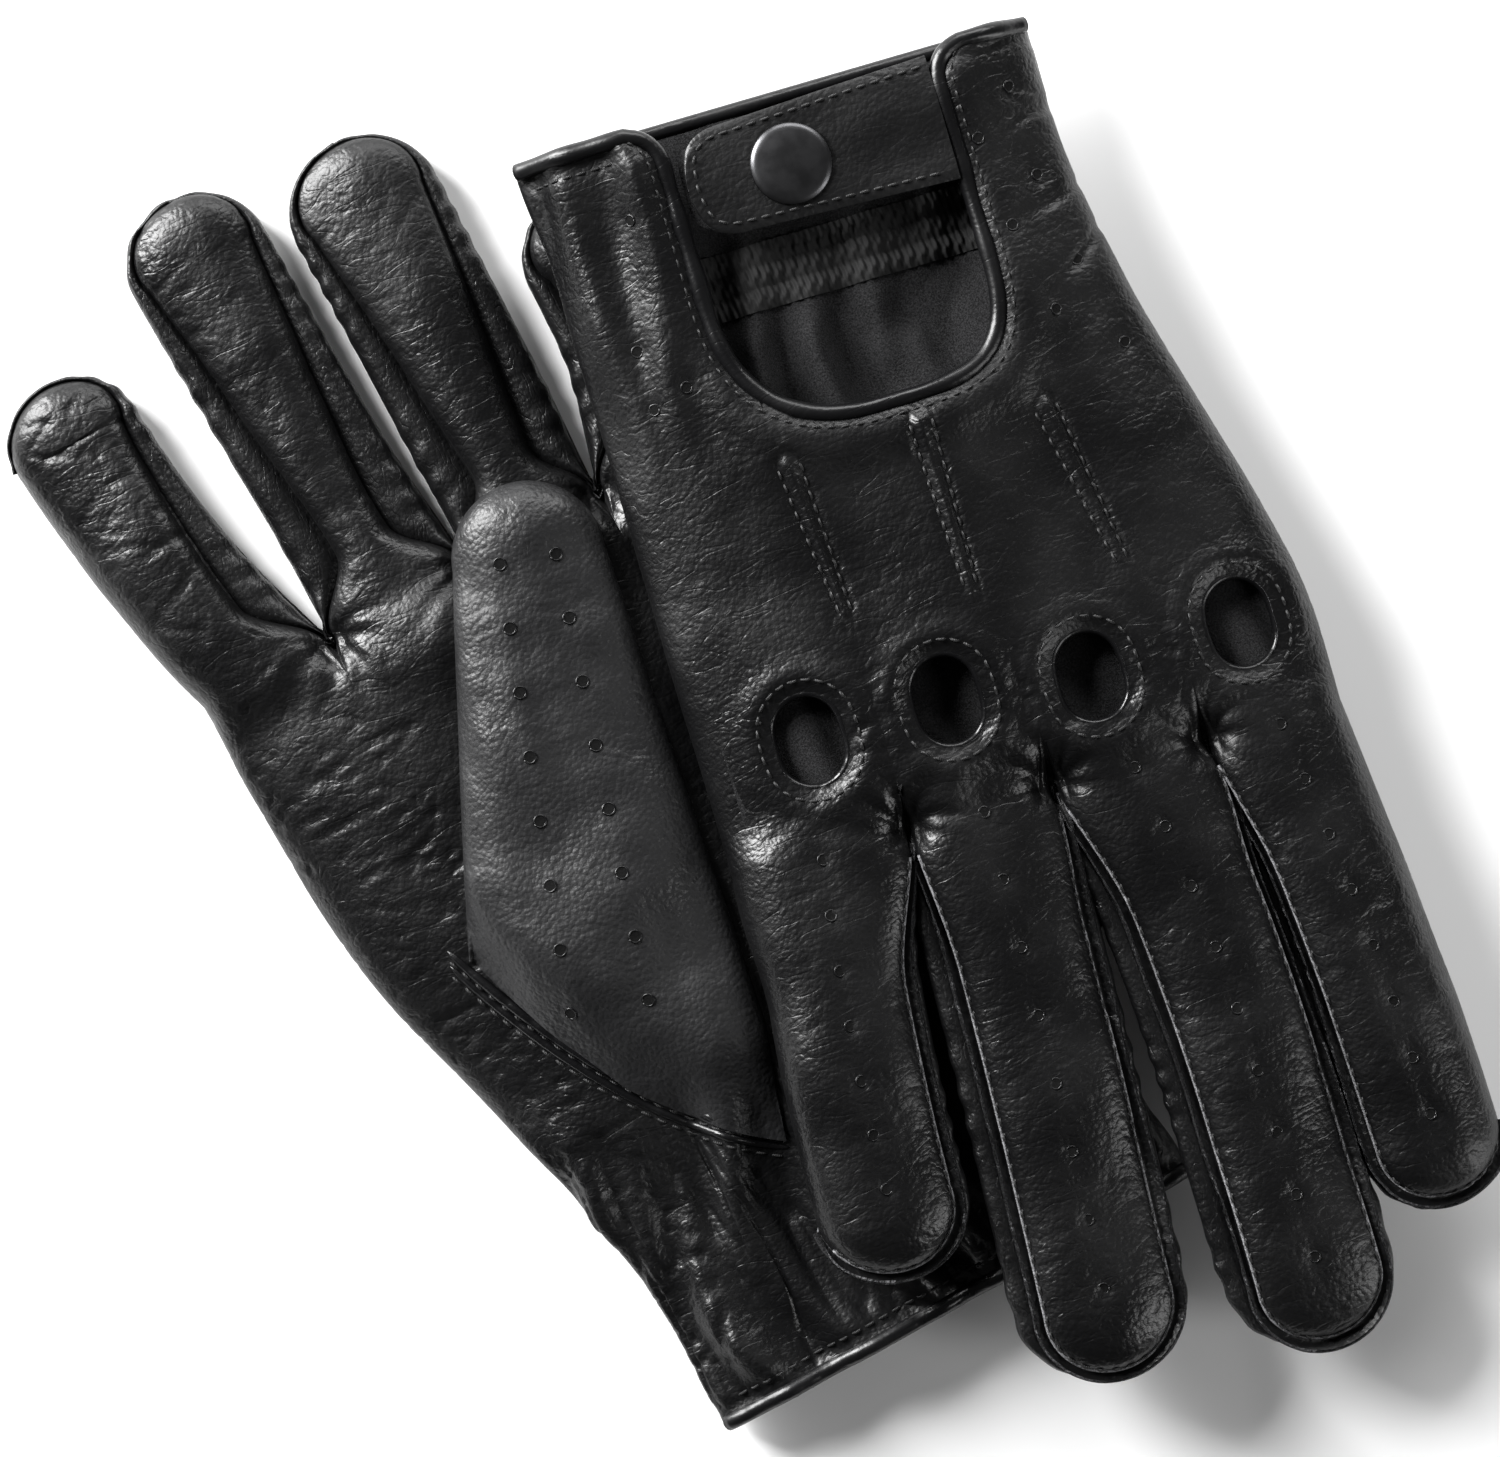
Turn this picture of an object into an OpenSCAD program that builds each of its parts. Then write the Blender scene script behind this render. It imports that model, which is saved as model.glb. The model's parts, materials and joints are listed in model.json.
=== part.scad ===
// A pair of leather driving gloves lying on a table.
// The left glove lies palm up, flat on the table, with its thumb folded over the palm.
// The right glove lies back up across it, with its thumb folded under the palm.
// Each glove is drawn lying flat: x runs across it from index to pinky, y from cuff to fingertips.
// The panel underneath is flat, the panel on top is domed, and the hand goes between them.

/* [Leather] */
// Thickness of the glove leather
leather = 1; // [0.8:0.1:1.2]
// Gap left between pieces that move past each other
clearance = 0.4; // [0.3:0.1:0.6]

/* [Hand] */
// Width of the flattened cuff
cuff_width = 88; // [84:1:92]
// Width across the knuckles
palm_width = 106; // [102:1:110]
// Height of the hand over the palm
hand_height = 12; // [11:0.5:12.5]
// Distance from the cuff to where the fingers part on the back
back_crotch = 122; // [120:1:124]
// Distance from the cuff to where the fingers part on the palm
palm_crotch = 147; // [145:1:148]
// Distance from the cuff to the knuckle holes
knuckle_at = 104; // [100:1:106]
// Width of a knuckle hole
knuckle_hole_width = 13; // [11:0.5:14]
// Length of a knuckle hole
knuckle_hole_length = 16; // [14:0.5:17]

/* [Fingers] */
// Finger lengths beyond the back crotch: index, middle, ring, pinky
finger_lengths = [85, 102, 97, 71]; // [68:1:104]
// Widths of the finger stalls: index, middle, ring, pinky
finger_widths = [23, 24.5, 26, 24.5]; // [21:0.5:27]
// Distance from the back crotch to the middle joint: index, middle, ring, pinky
bend_lengths = [34, 41, 39, 31]; // [30:1:42]
// Height of the finger stalls
finger_height = 10.5; // [9.5:0.5:11]
// Height of the fourchettes that join the front and back of each finger
fourchette_height = 3.5; // [3:0.5:4]

/* [Thumb] */
// Length of the thumb from the middle of its base seam
thumb_length = 96; // [92:1:97]
// Height of the folded thumb
thumb_height = 7; // [6:0.5:7]

/* [Wrist] */
// Width of the keyhole opening on the back
keyhole_width = 46; // [42:1:48]
// Depth of the keyhole opening
keyhole_depth = 53; // [48:1:54]
// Diameter of the piping round the cuff and keyhole
piping_diameter = 3; // [2.6:0.1:3]
// Width of the snap strap
strap_width = 18; // [17:0.5:19]
// Diameter of the snap cap
snap_diameter = 13.7; // [12.5:0.1:14.5]
// Width of the wrist elastic
elastic_width = 9; // [7:1:10]

/* [Hidden] */
leather_colour = "#262628";
fourchette_colour = "#1a1a1b";
piping_colour = "#151516";
suede_colour = "#3c3c3e";
metal_colour = "#7c7c80";
LEFT = 0;
RIGHT = 1;
INDEX = 0;
MIDDLE = 1;
RING = 2;
PINKY = 3;

// How the two gloves lie: the right one is tilted because its pinky side rests on the left one.
left_at = [-2.6, -94.4, 0];
left_turn = 6.25;
right_at = [44.5, 100.9, 13.5];
right_turn = 173.75;
right_roll = -3;

// Where the fingertips point on each glove, across the glove from its centre line
tip_x = [[-61, -28, 1, 31], [-57.5, -32, 4, 33]];
// The lines between the fingers where they part, as fractions of the palm width
part_lines = [0, 0.23, 0.48, 0.715, 1];
// The crotch on the panel on top: the palm of the left glove, the back of the right glove
top_crotch = [palm_crotch, back_crotch];

// Where the knuckle holes and the middle of the keyhole are, across the glove
knuckle_x = [-50, -23.5, 0.5, 24];
keyhole_x = -3.5;
piping_radius = piping_diameter / 2;
// How far the keyhole flares out where it meets the cuff
mouth_flare = 3.9;
// Play between a fourchette and the domed skin sewn to it
seam_play = 0.03;

index_cuff_x = -cuff_width / 2 - 1;
pinky_cuff_x = cuff_width / 2;
pinky_palm_x = 42.4;
index_palm_x = pinky_palm_x - palm_width;
cuff_height = 12;

// The left glove's cuff is lifted clear of the table by its own strap and snap
strap_thickness = 1;
cuff_lift = [3.7, 0];
lift_start = 66;

// Columns of one finger's width, from edge to edge
across = [-1, -0.86, -0.5, 0, 0.5, 0.86, 1];
steps = len(across) - 1;
columns = 4 * steps;

function mix(a, b, f) = a + (b - a) * f;
function clamp(f) = max(0, min(1, f));
function ease(f) = clamp(f) * clamp(f) * (3 - 2 * clamp(f));
function arch(u) = pow(max(0, 1 - pow(abs(u), 2.4)), 1 / 2.4);

// Outline of the hand below the fingers
function index_edge(y) = mix(index_cuff_x, index_palm_x, ease((y - 15) / 100));
function pinky_edge(y) = mix(pinky_cuff_x, pinky_palm_x, ease(y / 20));
function lift(side, y) = cuff_lift[side] * ease((lift_start - y) / 14);
function tip_y(f) = back_crotch + finger_lengths[f];
function bend_y(f) = back_crotch + bend_lengths[f];

// Centre line and width of a finger at distance y from the cuff
function line_x(f) = mix(index_palm_x, pinky_palm_x, part_lines[f]);
function base_width(f) = line_x(f + 1) - line_x(f);
function along(side, f, y) = clamp((y - top_crotch[side]) / (tip_y(f) - top_crotch[side]));
function centre_x(side, f, y) = let (rest = 1 - along(side, f, y))
    mix((line_x(f) + line_x(f + 1)) / 2, tip_x[side][f], 1 - rest * rest);
function tip_round(f, d) = let (r = finger_widths[f] * 0.55) d > r ? 1 : max(0.34, arch(1 - d / r));
function finger_width(side, f, y) =
    mix(base_width(f), finger_widths[f], ease((y - top_crotch[side]) / 24)) * tip_round(f, tip_y(f) - y);
function finger_edge(side, f, sign, y) = centre_x(side, f, y) + sign * finger_width(side, f, y) / 2;

// Height of the edge of the top skin: folded down on the outer sides, on a fourchette elsewhere
function outer_side(f, sign) = (f == INDEX && sign < 0) || (f == PINKY && sign > 0);
function edge_z(side, f, sign, y) = outer_side(f, sign)
    ? leather + lift(side, y)
    : leather + fourchette_height * (1 - ease(1 - (tip_y(f) - y - 6) / 14));
function finger_top(f, y) =
    let (d = tip_y(f) - y, flat = mix(finger_height, finger_height - 1.5, clamp((y - bend_y(f)) / 50)))
    d > 9 ? flat : leather + (flat - leather) * arch(1 - d / 9);
function lobe_z(side, f, u, y, inset) =
    let (edge = mix(edge_z(side, f, -1, y), edge_z(side, f, 1, y), (u + 1) / 2))
    edge + max(0, finger_top(f, y) - inset - edge) * arch(u);

// One row of points across a finger's top skin; inset is 0 outside and the leather inside
function finger_row(side, f, y, inset) =
    let (row_y = y - inset * ease((y - tip_y(f) + 12) / 12), half = finger_width(side, f, y) / 2 - inset)
    [for (u = across) [centre_x(side, f, y) + u * half, row_y, lobe_z(side, f, u, y, inset)]];

// One row of points across the whole hand
function hand_fraction(c) = let (f = min(3, floor(c / steps)), u = across[c - f * steps])
    mix(part_lines[f], part_lines[f + 1], (u + 1) / 2);
function hand_top(y) = mix(cuff_height, hand_height, ease(y / 70));
function hand_z(side, c, y) =
    let (f = min(3, floor(c / steps)), u = across[c - f * steps], edge = leather + lift(side, y))
    mix(edge + (hand_top(y) - edge) * arch(2 * hand_fraction(c) - 1), lobe_z(side, f, u, y, 0),
        ease((y - top_crotch[side] + 32) / 32));
function hand_row(side, y, inset) =
    let (left = index_edge(y) + inset, right = pinky_edge(y) - inset, edge = leather + lift(side, y))
    [for (c = [0 : columns])
        [mix(left, right, hand_fraction(c)), y, max(edge, hand_z(side, c, y) - inset)]];

// A closed sheet between two grids of points with the same rows and columns
module sheet(outer, inner) {
    rows = len(outer);
    wide = len(outer[0]);
    size = rows * wide;
    function at(i, j) = i * wide + j;
    skin = [for (i = [0 : rows - 2]) for (j = [0 : wide - 2]) each [
        [at(i, j), at(i + 1, j), at(i + 1, j + 1)],
        [at(i, j), at(i + 1, j + 1), at(i, j + 1)]]];
    lining = [for (tri = skin) [tri[0] + size, tri[2] + size, tri[1] + size]];
    rim = concat(
        [for (j = [0 : wide - 1]) at(0, j)],
        [for (i = [1 : rows - 1]) at(i, wide - 1)],
        [for (j = [wide - 2 : -1 : 0]) at(rows - 1, j)],
        [for (i = [rows - 2 : -1 : 1]) at(i, 0)]);
    around = len(rim);
    edge = [for (k = [0 : around - 1]) let (a = rim[k], b = rim[(k + 1) % around]) each [
        [a, b, b + size],
        [a, b + size, a + size]]];
    polyhedron(points = [for (row = outer) each row, for (row = inner) each row],
        faces = concat(skin, lining, edge));
}

// The same sheet drawn upside down and turned over, for the skins of the fingers and thumbs
function upside_down(grid) = [for (row = grid) [for (p = row) [p.x, p.y, -p.z]]];
module skin_sheet(outer, inner) {
    mirror([0, 0, 1])
        sheet(upside_down(inner), upside_down(outer));
}

// A round tube along a list of points that lies nearly level
module tube(path, diameter) {
    sides = 8;
    last = len(path) - 1;
    function heading(i) = let (d = path[min(last, i + 1)] - path[max(0, i - 1)]) d / norm(d);
    function ring(i) =
        let (ahead = heading(i), side = cross(ahead, [0, 0, 1]) / norm(cross(ahead, [0, 0, 1])),
            up = cross(side, ahead))
        [for (k = [0 : sides - 1]) path[i] + diameter / 2
            * (side * cos(360 * (k + 0.5) / sides) + up * sin(360 * (k + 0.5) / sides))];
    walls = [for (i = [0 : last - 1]) for (k = [0 : sides - 1]) let (n = (k + 1) % sides) each [
        [i * sides + k, (i + 1) * sides + n, (i + 1) * sides + k],
        [i * sides + k, i * sides + n, (i + 1) * sides + n]]];
    start_cap = [[for (k = [sides - 1 : -1 : 0]) k]];
    end_cap = [[for (k = [0 : sides - 1]) last * sides + k]];
    polyhedron(points = [for (i = [0 : last]) each ring(i)], faces = concat(walls, start_cap, end_cap));
}

module placed(side) {
    at = side == LEFT ? left_at : right_at;
    turn = side == LEFT ? left_turn : right_turn;
    roll = side == LEFT ? 0 : right_roll;
    translate(at)
        rotate([0, 0, turn])
            rotate([0, roll, 0])
                children();
}

// Rows of a finger: the stretch that belongs to the hand and the stretch beyond the middle joint
function base_rows(side, f) = [for (k = [0 : 2]) mix(top_crotch[side], bend_y(f) - clearance / 2, k / 2)];
function stall_rows(f) = let (start = bend_y(f) + clearance / 2, end = tip_y(f), round_from = end - 12)
    [start, mix(start, round_from, 0.5), round_from, end - 8, end - 5, end - 2.5, end - 1, end];

// Outline of a finger between two distances from the cuff
function finger_outline(side, f, ys) = concat(
    [for (y = ys) [finger_edge(side, f, -1, y), y]],
    [for (k = [len(ys) - 1 : -1 : 0]) [finger_edge(side, f, 1, ys[k]), ys[k]]]);

// The skin of a finger that lies flat underneath
module finger_flat(side, f) {
    color(leather_colour)
    placed(side)
        linear_extrude(leather)
            polygon(finger_outline(side, f, stall_rows(f)));
}

// The skin of a finger that domes up on top
module finger_domed(side, f) {
    rows = stall_rows(f);
    color(leather_colour)
    placed(side)
        skin_sheet([for (y = rows) finger_row(side, f, y, 0)],
            [for (y = rows) finger_row(side, f, y, leather)]);
}

// A strip that stands between the flat skin and the domed skin along one side of a finger
module fourchette_strip(side, f, sign, rows) {
    // the hand's leather is still over it at the crotch
    function top(y) = edge_z(side, f, sign, y) - seam_play - (y > top_crotch[side] ? 0 : leather);
    function wall(inset) = [for (y = rows) let (x = finger_edge(side, f, sign, y) - sign * inset)
        sign > 0
            ? [[x, y, top(y)], [x, y, leather]]
            : [[x, y, leather], [x, y, top(y)]]];
    sheet(wall(0), wall(leather));
}

module fourchette(side, f, sign) {
    rows = stall_rows(f);
    color(fourchette_colour)
    placed(side)
        fourchette_strip(side, f, sign, [for (k = [0 : 3]) rows[k]]);
}

// The ends of the fourchettes between the crotches and the middle joints
module fourchette_roots(side) {
    color(fourchette_colour)
    placed(side)
        for (f = [0 : 3])
            for (sign = [-1, 1])
                if (!outer_side(f, sign))
                    fourchette_strip(side, f, sign, base_rows(side, f));
}

// Outline of the flat panel, out to the middle joints of the fingers
module flat_outline(side) {
    far = palm_crotch;
    reach = 1;
    hand = [0, 12, 25, 40, 55, 70, 85, 100, 112, 122];
    web = [130, 138, far];
    left_side = concat([for (y = hand) [index_edge(y), y]],
        [for (y = web) [side == RIGHT ? finger_edge(side, INDEX, -1, y) : index_edge(y), y]]);
    right_side = concat([for (y = hand) [pinky_edge(y), y]],
        [for (y = web) [side == RIGHT ? finger_edge(side, PINKY, 1, y) : pinky_edge(y), y]]);
    polygon(concat(left_side, [for (k = [len(right_side) - 1 : -1 : 0]) right_side[k]]));
    for (f = [0 : 3]) {
        start = far - reach;
        end = bend_y(f) - clearance / 2;
        polygon(finger_outline(side, f, [start, mix(start, end, 0.5), end]));
    }
}

module knuckle_outline(grow) {
    straight = knuckle_hole_length - knuckle_hole_width;
    wide = knuckle_hole_width + 2 * grow;
    for (x = knuckle_x)
        translate([x, knuckle_at]) {
            for (y = [-straight, straight] / 2)
                translate([0, y])
                    circle(d = wide, $fn = 24);
            square([wide, straight], center = true);
        }
}

// The keyhole: a slot with a round end, grown all round by a margin
module keyhole_outline(grow) {
    r = keyhole_width / 2 + grow;
    end = keyhole_depth - keyhole_width / 2;
    mouth = keyhole_width / 2 + mouth_flare;
    translate([keyhole_x, end])
        circle(r = r, $fn = 72);
    translate([keyhole_x - r, -20])
        square([2 * r, end + 20]);
    // its mouth is cut wider, where the piping turns into the cuff
    translate([keyhole_x, 0])
        polygon([[-mouth, -1], [mouth, -1], [mouth, 0], [mouth - mouth_flare, mouth_flare],
            [mouth_flare - mouth, mouth_flare], [-mouth, 0]]);
}

// The domed panel: the hand and the stretch of each finger up to its middle joint, as one sheet.
// The fingers grow out of the hand's last row of points, and part from each other there.
module domed_panel(side) {
    hand_ys = side == LEFT
        ? [0, 14, 30, 44, 52, 60, 75, 95, 115, 123, 131, 139, 147]
        : [0, 14, 30, 44, 56, 70, 82, 90, 98, 106, 114, 122];
    last = len(hand_ys) - 1;
    wide = columns + 1;
    hand_size = len(hand_ys) * wide;
    finger_wide = steps + 1;
    size = hand_size + 4 * 2 * finger_wide;
    function hand_at(i, c) = i * wide + c;
    function finger_at(f, i, j) = i == 0
        ? hand_at(last, f * steps + j)
        : hand_size + (f * 2 + i - 1) * finger_wide + j;
    function layer(inset) = concat(
        [for (y = hand_ys) each hand_row(side, y, inset)],
        [for (f = [0 : 3]) for (i = [1, 2]) each finger_row(side, f, base_rows(side, f)[i], inset)]);
    skin = concat(
        [for (i = [0 : last - 1]) for (c = [0 : columns - 1]) each [
            [hand_at(i, c), hand_at(i + 1, c), hand_at(i + 1, c + 1)],
            [hand_at(i, c), hand_at(i + 1, c + 1), hand_at(i, c + 1)]]],
        [for (f = [0 : 3]) for (i = [0, 1]) for (j = [0 : steps - 1]) each [
            [finger_at(f, i, j), finger_at(f, i + 1, j), finger_at(f, i + 1, j + 1)],
            [finger_at(f, i, j), finger_at(f, i + 1, j + 1), finger_at(f, i, j + 1)]]]);
    lining = [for (tri = skin) [tri[0] + size, tri[2] + size, tri[1] + size]];
    rim = concat(
        [for (c = [0 : columns]) hand_at(0, c)],
        [for (i = [1 : last]) hand_at(i, columns)],
        [for (f = [3 : -1 : 0]) each concat(
            [finger_at(f, 1, steps)],
            [for (j = [steps : -1 : 0]) finger_at(f, 2, j)],
            [finger_at(f, 1, 0), finger_at(f, 0, 0)])],
        [for (i = [last - 1 : -1 : 1]) hand_at(i, 0)]);
    around = len(rim);
    edge = [for (k = [0 : around - 1]) let (a = rim[k], b = rim[(k + 1) % around]) each [
        [a, b, b + size],
        [a, b + size, a + size]]];
    polyhedron(points = concat(layer(0), layer(leather)), faces = concat(skin, lining, edge));
}

// The lifted cuff of the left glove's back, a bent sheet
module lifted_cuff() {
    ys = [0, 20, 40, 52, 56, 59, 62, lift_start];
    function row(y, up) = [for (k = [0 : 4])
        [mix(index_edge(y), pinky_edge(y), k / 4), y, lift(LEFT, y) + up]];
    sheet([for (y = ys) row(y, leather)], [for (y = ys) row(y, 0)]);
}

module left_back_panel() {
    color(leather_colour)
    placed(LEFT)
    difference() {
        union() {
            linear_extrude(leather)
                difference() {
                    flat_outline(LEFT);
                    translate([-100, -1])
                        square([200, lift_start + 1]);
                }
            lifted_cuff();
        }
        translate([0, 0, -1])
            linear_extrude(12)
                keyhole_outline(piping_radius + 0.15);
        translate([0, 0, -1])
            linear_extrude(3)
                knuckle_outline(0);
    }
}

module left_palm_panel() {
    color(leather_colour)
    placed(LEFT)
    difference() {
        domed_panel(LEFT);
        thumb_hole(LEFT, 2, 30);
    }
}

module right_back_panel() {
    color(leather_colour)
    placed(RIGHT)
    difference() {
        domed_panel(RIGHT);
        translate([0, 0, 4])
            linear_extrude(12)
                keyhole_outline(piping_radius + 0.15);
        translate([0, 0, 6])
            linear_extrude(10)
                knuckle_outline(0);
    }
}

module right_palm_panel() {
    color(leather_colour)
    placed(RIGHT)
    difference() {
        linear_extrude(leather)
            flat_outline(RIGHT);
        thumb_hole(RIGHT, -1, 3);
    }
}

// Round facings sewn behind the knuckle holes
facing = 0.6;
facing_width = 2.2;

module left_knuckle_facings() {
    color(suede_colour)
    placed(LEFT)
    translate([0, 0, leather])
    linear_extrude(facing)
        difference() {
            knuckle_outline(facing_width);
            knuckle_outline(0);
        }
}

module right_knuckle_facings() {
    ys = [82, 90, 98, 106, 114, 122];
    color(suede_colour)
    placed(RIGHT)
    intersection() {
        sheet([for (y = ys) hand_row(RIGHT, y, leather)],
            [for (y = ys) hand_row(RIGHT, y, leather + facing)]);
        linear_extrude(20)
            difference() {
                knuckle_outline(facing_width);
                knuckle_outline(0);
            }
    }
}

// The folded thumb, drawn from the middle of its base seam with its length along y.
// Its base seam runs slantwise, farther along on the index side.
thumb_base = [-30, 63.5];
thumb_turn = [-18.7, 3];
thumb_base_half = 25;
thumb_tip_half = 12.5;
thumb_slant = 20;
thumb_seam_angle = atan2(thumb_slant, thumb_base_half);
thumb_gap = 0.4;
thumb_columns = [-1, -0.85, -0.5, 0, 0.5, 0.85, 1];
thumb_rows = [0, 0.05, 0.12, 0.22, 0.4, 0.65, 0.86, 0.92, 0.96, 0.985, 1];

function thumb_y(u, v, inset) = mix(-thumb_slant * u + inset, thumb_length - inset, v);
function thumb_half(u, y) = let (d = thumb_length - y)
    mix(thumb_base_half, thumb_tip_half, clamp(y / 86)) * (d > 13 ? 1 : max(0.3, arch(1 - d / 13)));
function thumb_rise(v) = v > 0.86 ? arch((v - 0.86) / 0.14) : ease((v + 0.03) / 0.2);
function thumb_point(u, v, inset) = let (y = thumb_y(u, v, inset))
    [u * (thumb_half(u, y) - inset), y, leather + max(0, thumb_height - leather - inset) * arch(u) * thumb_rise(v)];

module thumb_place(side) {
    // on the left glove it lies over the palm, on the right glove under it
    placed(side)
        translate([0, 0, side == LEFT ? hand_height + thumb_gap : -thumb_gap])
            translate(thumb_base)
                rotate([0, 0, thumb_turn[side]])
                    mirror([0, 0, side == LEFT ? 0 : 1])
                        children();
}

module thumb_outer(side) {
    color(leather_colour)
    thumb_place(side)
        skin_sheet([for (v = thumb_rows) [for (u = thumb_columns) thumb_point(u, v, 0)]],
            [for (v = thumb_rows) [for (u = thumb_columns) thumb_point(u, v, leather)]]);
}

// The inner leather starts beyond the thumb hole
module thumb_inner(side) {
    rows = [for (v = thumb_rows) if (v > 0.2) v];
    function edge(u) = [for (v = rows) let (p = thumb_point(u, v, 0)) [p.x, p.y]];
    left_edge = edge(-1);
    right_edge = edge(1);
    color(leather_colour)
    thumb_place(side)
        linear_extrude(leather)
            polygon(concat(left_edge, [for (k = [len(right_edge) - 1 : -1 : 0]) right_edge[k]]));
}

// The way from the hand into the thumb
module thumb_hole(side, low, high) {
    translate(thumb_base)
        rotate([0, 0, thumb_turn[side] - thumb_seam_angle])
            translate([0, 12, low])
                linear_extrude(high - low) {
                    for (x = [-12, 12])
                        translate([x, 0])
                            circle(r = 8, $fn = 32);
                    square([24, 16], center = true);
                }
}

// Piping round the cuff and keyhole: its path on the back and its path on the palm
function back_z(side, x, y) = let (edge = leather + lift(side, y), u = 2 * (x - index_edge(y)) / (pinky_edge(y) - index_edge(y)) - 1)
    side == RIGHT ? edge + (hand_top(y) - edge) * arch(u) - leather / 2 : lift(side, y) + leather / 2;
function back_path(side) = let (r = keyhole_width / 2, end = keyhole_depth - r, low = -piping_radius - 0.1) [
    for (f = [0 : 0.34 : 1.03]) let (x = mix(pinky_cuff_x - 1, keyhole_x + r + 3, min(1, f)))
        [x, low, back_z(side, x, 0)],
    for (f = [0, 0.3, 0.65]) [keyhole_x + r, mix(1.5, end, f), back_z(side, keyhole_x + r, mix(1.5, end, f))],
    for (a = [0 : 15 : 180]) let (x = keyhole_x + r * cos(a), y = end + r * sin(a)) [x, y, back_z(side, x, y)],
    for (f = [0.65, 0.3, 0]) [keyhole_x - r, mix(1.5, end, f), back_z(side, keyhole_x - r, mix(1.5, end, f))],
    for (f = [0 : 0.34 : 1.03]) let (x = mix(keyhole_x - r - 3, index_cuff_x + 1, min(1, f)))
        [x, low, back_z(side, x, 0)]];
function palm_z(side, x) = let (edge = leather + lift(side, 0), u = 2 * (x - index_cuff_x) / (pinky_cuff_x - index_cuff_x) - 1)
    side == LEFT ? edge + (cuff_height - edge) * arch(u) - leather / 2 : leather / 2;
function palm_path(side) = [for (f = [0 : 0.0625 : 1])
    let (inner = side == LEFT ? 5 : 2, x = mix(index_cuff_x + inner, pinky_cuff_x - inner, f))
    [x, -piping_radius - 0.1, palm_z(side, x)]];

module cuff_piping(side) {
    color(piping_colour)
    placed(side) {
        tube(back_path(side), piping_diameter);
        tube(palm_path(side), piping_diameter);
    }
}

// The strap bridges the keyhole from its index side, over a tab from its pinky side.
// Heights are measured outward from the inside of the back; on the left glove they run downward.
strap_y = 11;
strap_hinge_x = keyhole_x - keyhole_width / 2 + piping_radius + 1;
strap_tip_x = 17.5;
snap_at = [0, 11.5];
strap_base = [cuff_lift[LEFT] - clearance, 9.2];
strap_gap = 0.3;
anchor_length = 9;
anchor_z = [-2.4, -3.4];

module strap_place(side) {
    placed(side)
        translate([0, 0, strap_base[side]])
            mirror([0, 0, side == LEFT ? 1 : 0])
                children();
}

module strap_outline() {
    radius = strap_width / 2;
    hull() {
        translate([strap_tip_x - 5, strap_y + radius - 5])
            circle(r = 5, $fn = 32);
        translate([strap_tip_x - 5, strap_y - radius + 5])
            circle(r = 5, $fn = 32);
        translate([strap_hinge_x + clearance / 2, strap_y - radius - 1])
            square([1, strap_width + 2]);
    }
}

module strap_lining(side) {
    color(suede_colour)
    strap_place(side)
        difference() {
            linear_extrude(strap_thickness)
                strap_outline();
            translate([snap_at.x, snap_at.y, -1])
                cylinder(d = 5, h = strap_thickness + 2, $fn = 32);
        }
}

module strap_outer(side) {
    color(leather_colour)
    strap_place(side)
        translate([0, 0, strap_thickness])
            difference() {
                linear_extrude(strap_thickness)
                    strap_outline();
                translate([snap_at.x, snap_at.y, -1])
                    cylinder(d = 5, h = strap_thickness + 2, $fn = 32);
            }
}

// Cap and socket of the snap, riveted through the strap
module snap_cap(side) {
    top = 2 * strap_thickness;
    color(metal_colour)
    strap_place(side)
        translate([snap_at.x, snap_at.y, 0])
            difference() {
                rotate_extrude($fn = 48)
                    polygon([
                        [0, 0], [2.4, 0], [2.4, top], [snap_diameter / 2 - 0.3, top],
                        [snap_diameter / 2, top + 0.3], [snap_diameter / 2 - 0.6, top + 0.7],
                        [snap_diameter / 4, top + 1.1], [0, top + 1.2]]);
                translate([0, 0, -1])
                    cylinder(d = 3.2, h = 2.4, $fn = 32);
            }
}

module underlap_tab(side) {
    left = -9;
    right = keyhole_x + keyhole_width / 2 - piping_radius;
    color(leather_colour)
    strap_place(side)
        translate([0, 0, -strap_gap - leather])
            linear_extrude(leather)
                difference() {
                    union() {
                        translate([left, strap_y - 7])
                            square([right - left, 14]);
                        translate([left, strap_y])
                            circle(r = 7, $fn = 32);
                    }
                    translate(snap_at)
                        circle(d = 3, $fn = 24);
                }
}

// Stud of the snap, riveted through the tab
module snap_stud(side) {
    color(metal_colour)
    strap_place(side)
        translate([snap_at.x, snap_at.y, -strap_gap - leather])
            rotate_extrude($fn = 32)
                polygon([[0, -0.6], [4, -0.6], [4, 0], [1.5, 0], [1.5, leather],
                    [1.3, leather + 0.9], [0, leather + 1.1]]);
}

// The end of the strap that is sewn behind the index side of the keyhole
module strap_anchor(side) {
    end = keyhole_x - keyhole_width / 2 - piping_radius;
    color(leather_colour)
    strap_place(side)
        translate([end - anchor_length, strap_y - strap_width / 2 - 1, anchor_z[side]])
            cube([anchor_length, strap_width + 2, leather]);
}

module wrist_elastic(side) {
    ys = [24, 24 + elastic_width / 2, 24 + elastic_width];
    thick = 0.8;
    color(suede_colour)
    placed(side)
        if (side == RIGHT)
            translate([index_edge(24) + 5, ys[0], leather])
                cube([cuff_width - 12, elastic_width, thick]);
        else
            sheet([for (y = ys) elastic_row(y, leather)], [for (y = ys) elastic_row(y, leather + thick)]);
}
function elastic_row(y, down) = let (row = hand_row(LEFT, y, down)) [for (c = [4 : columns - 4]) row[c]];

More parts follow.
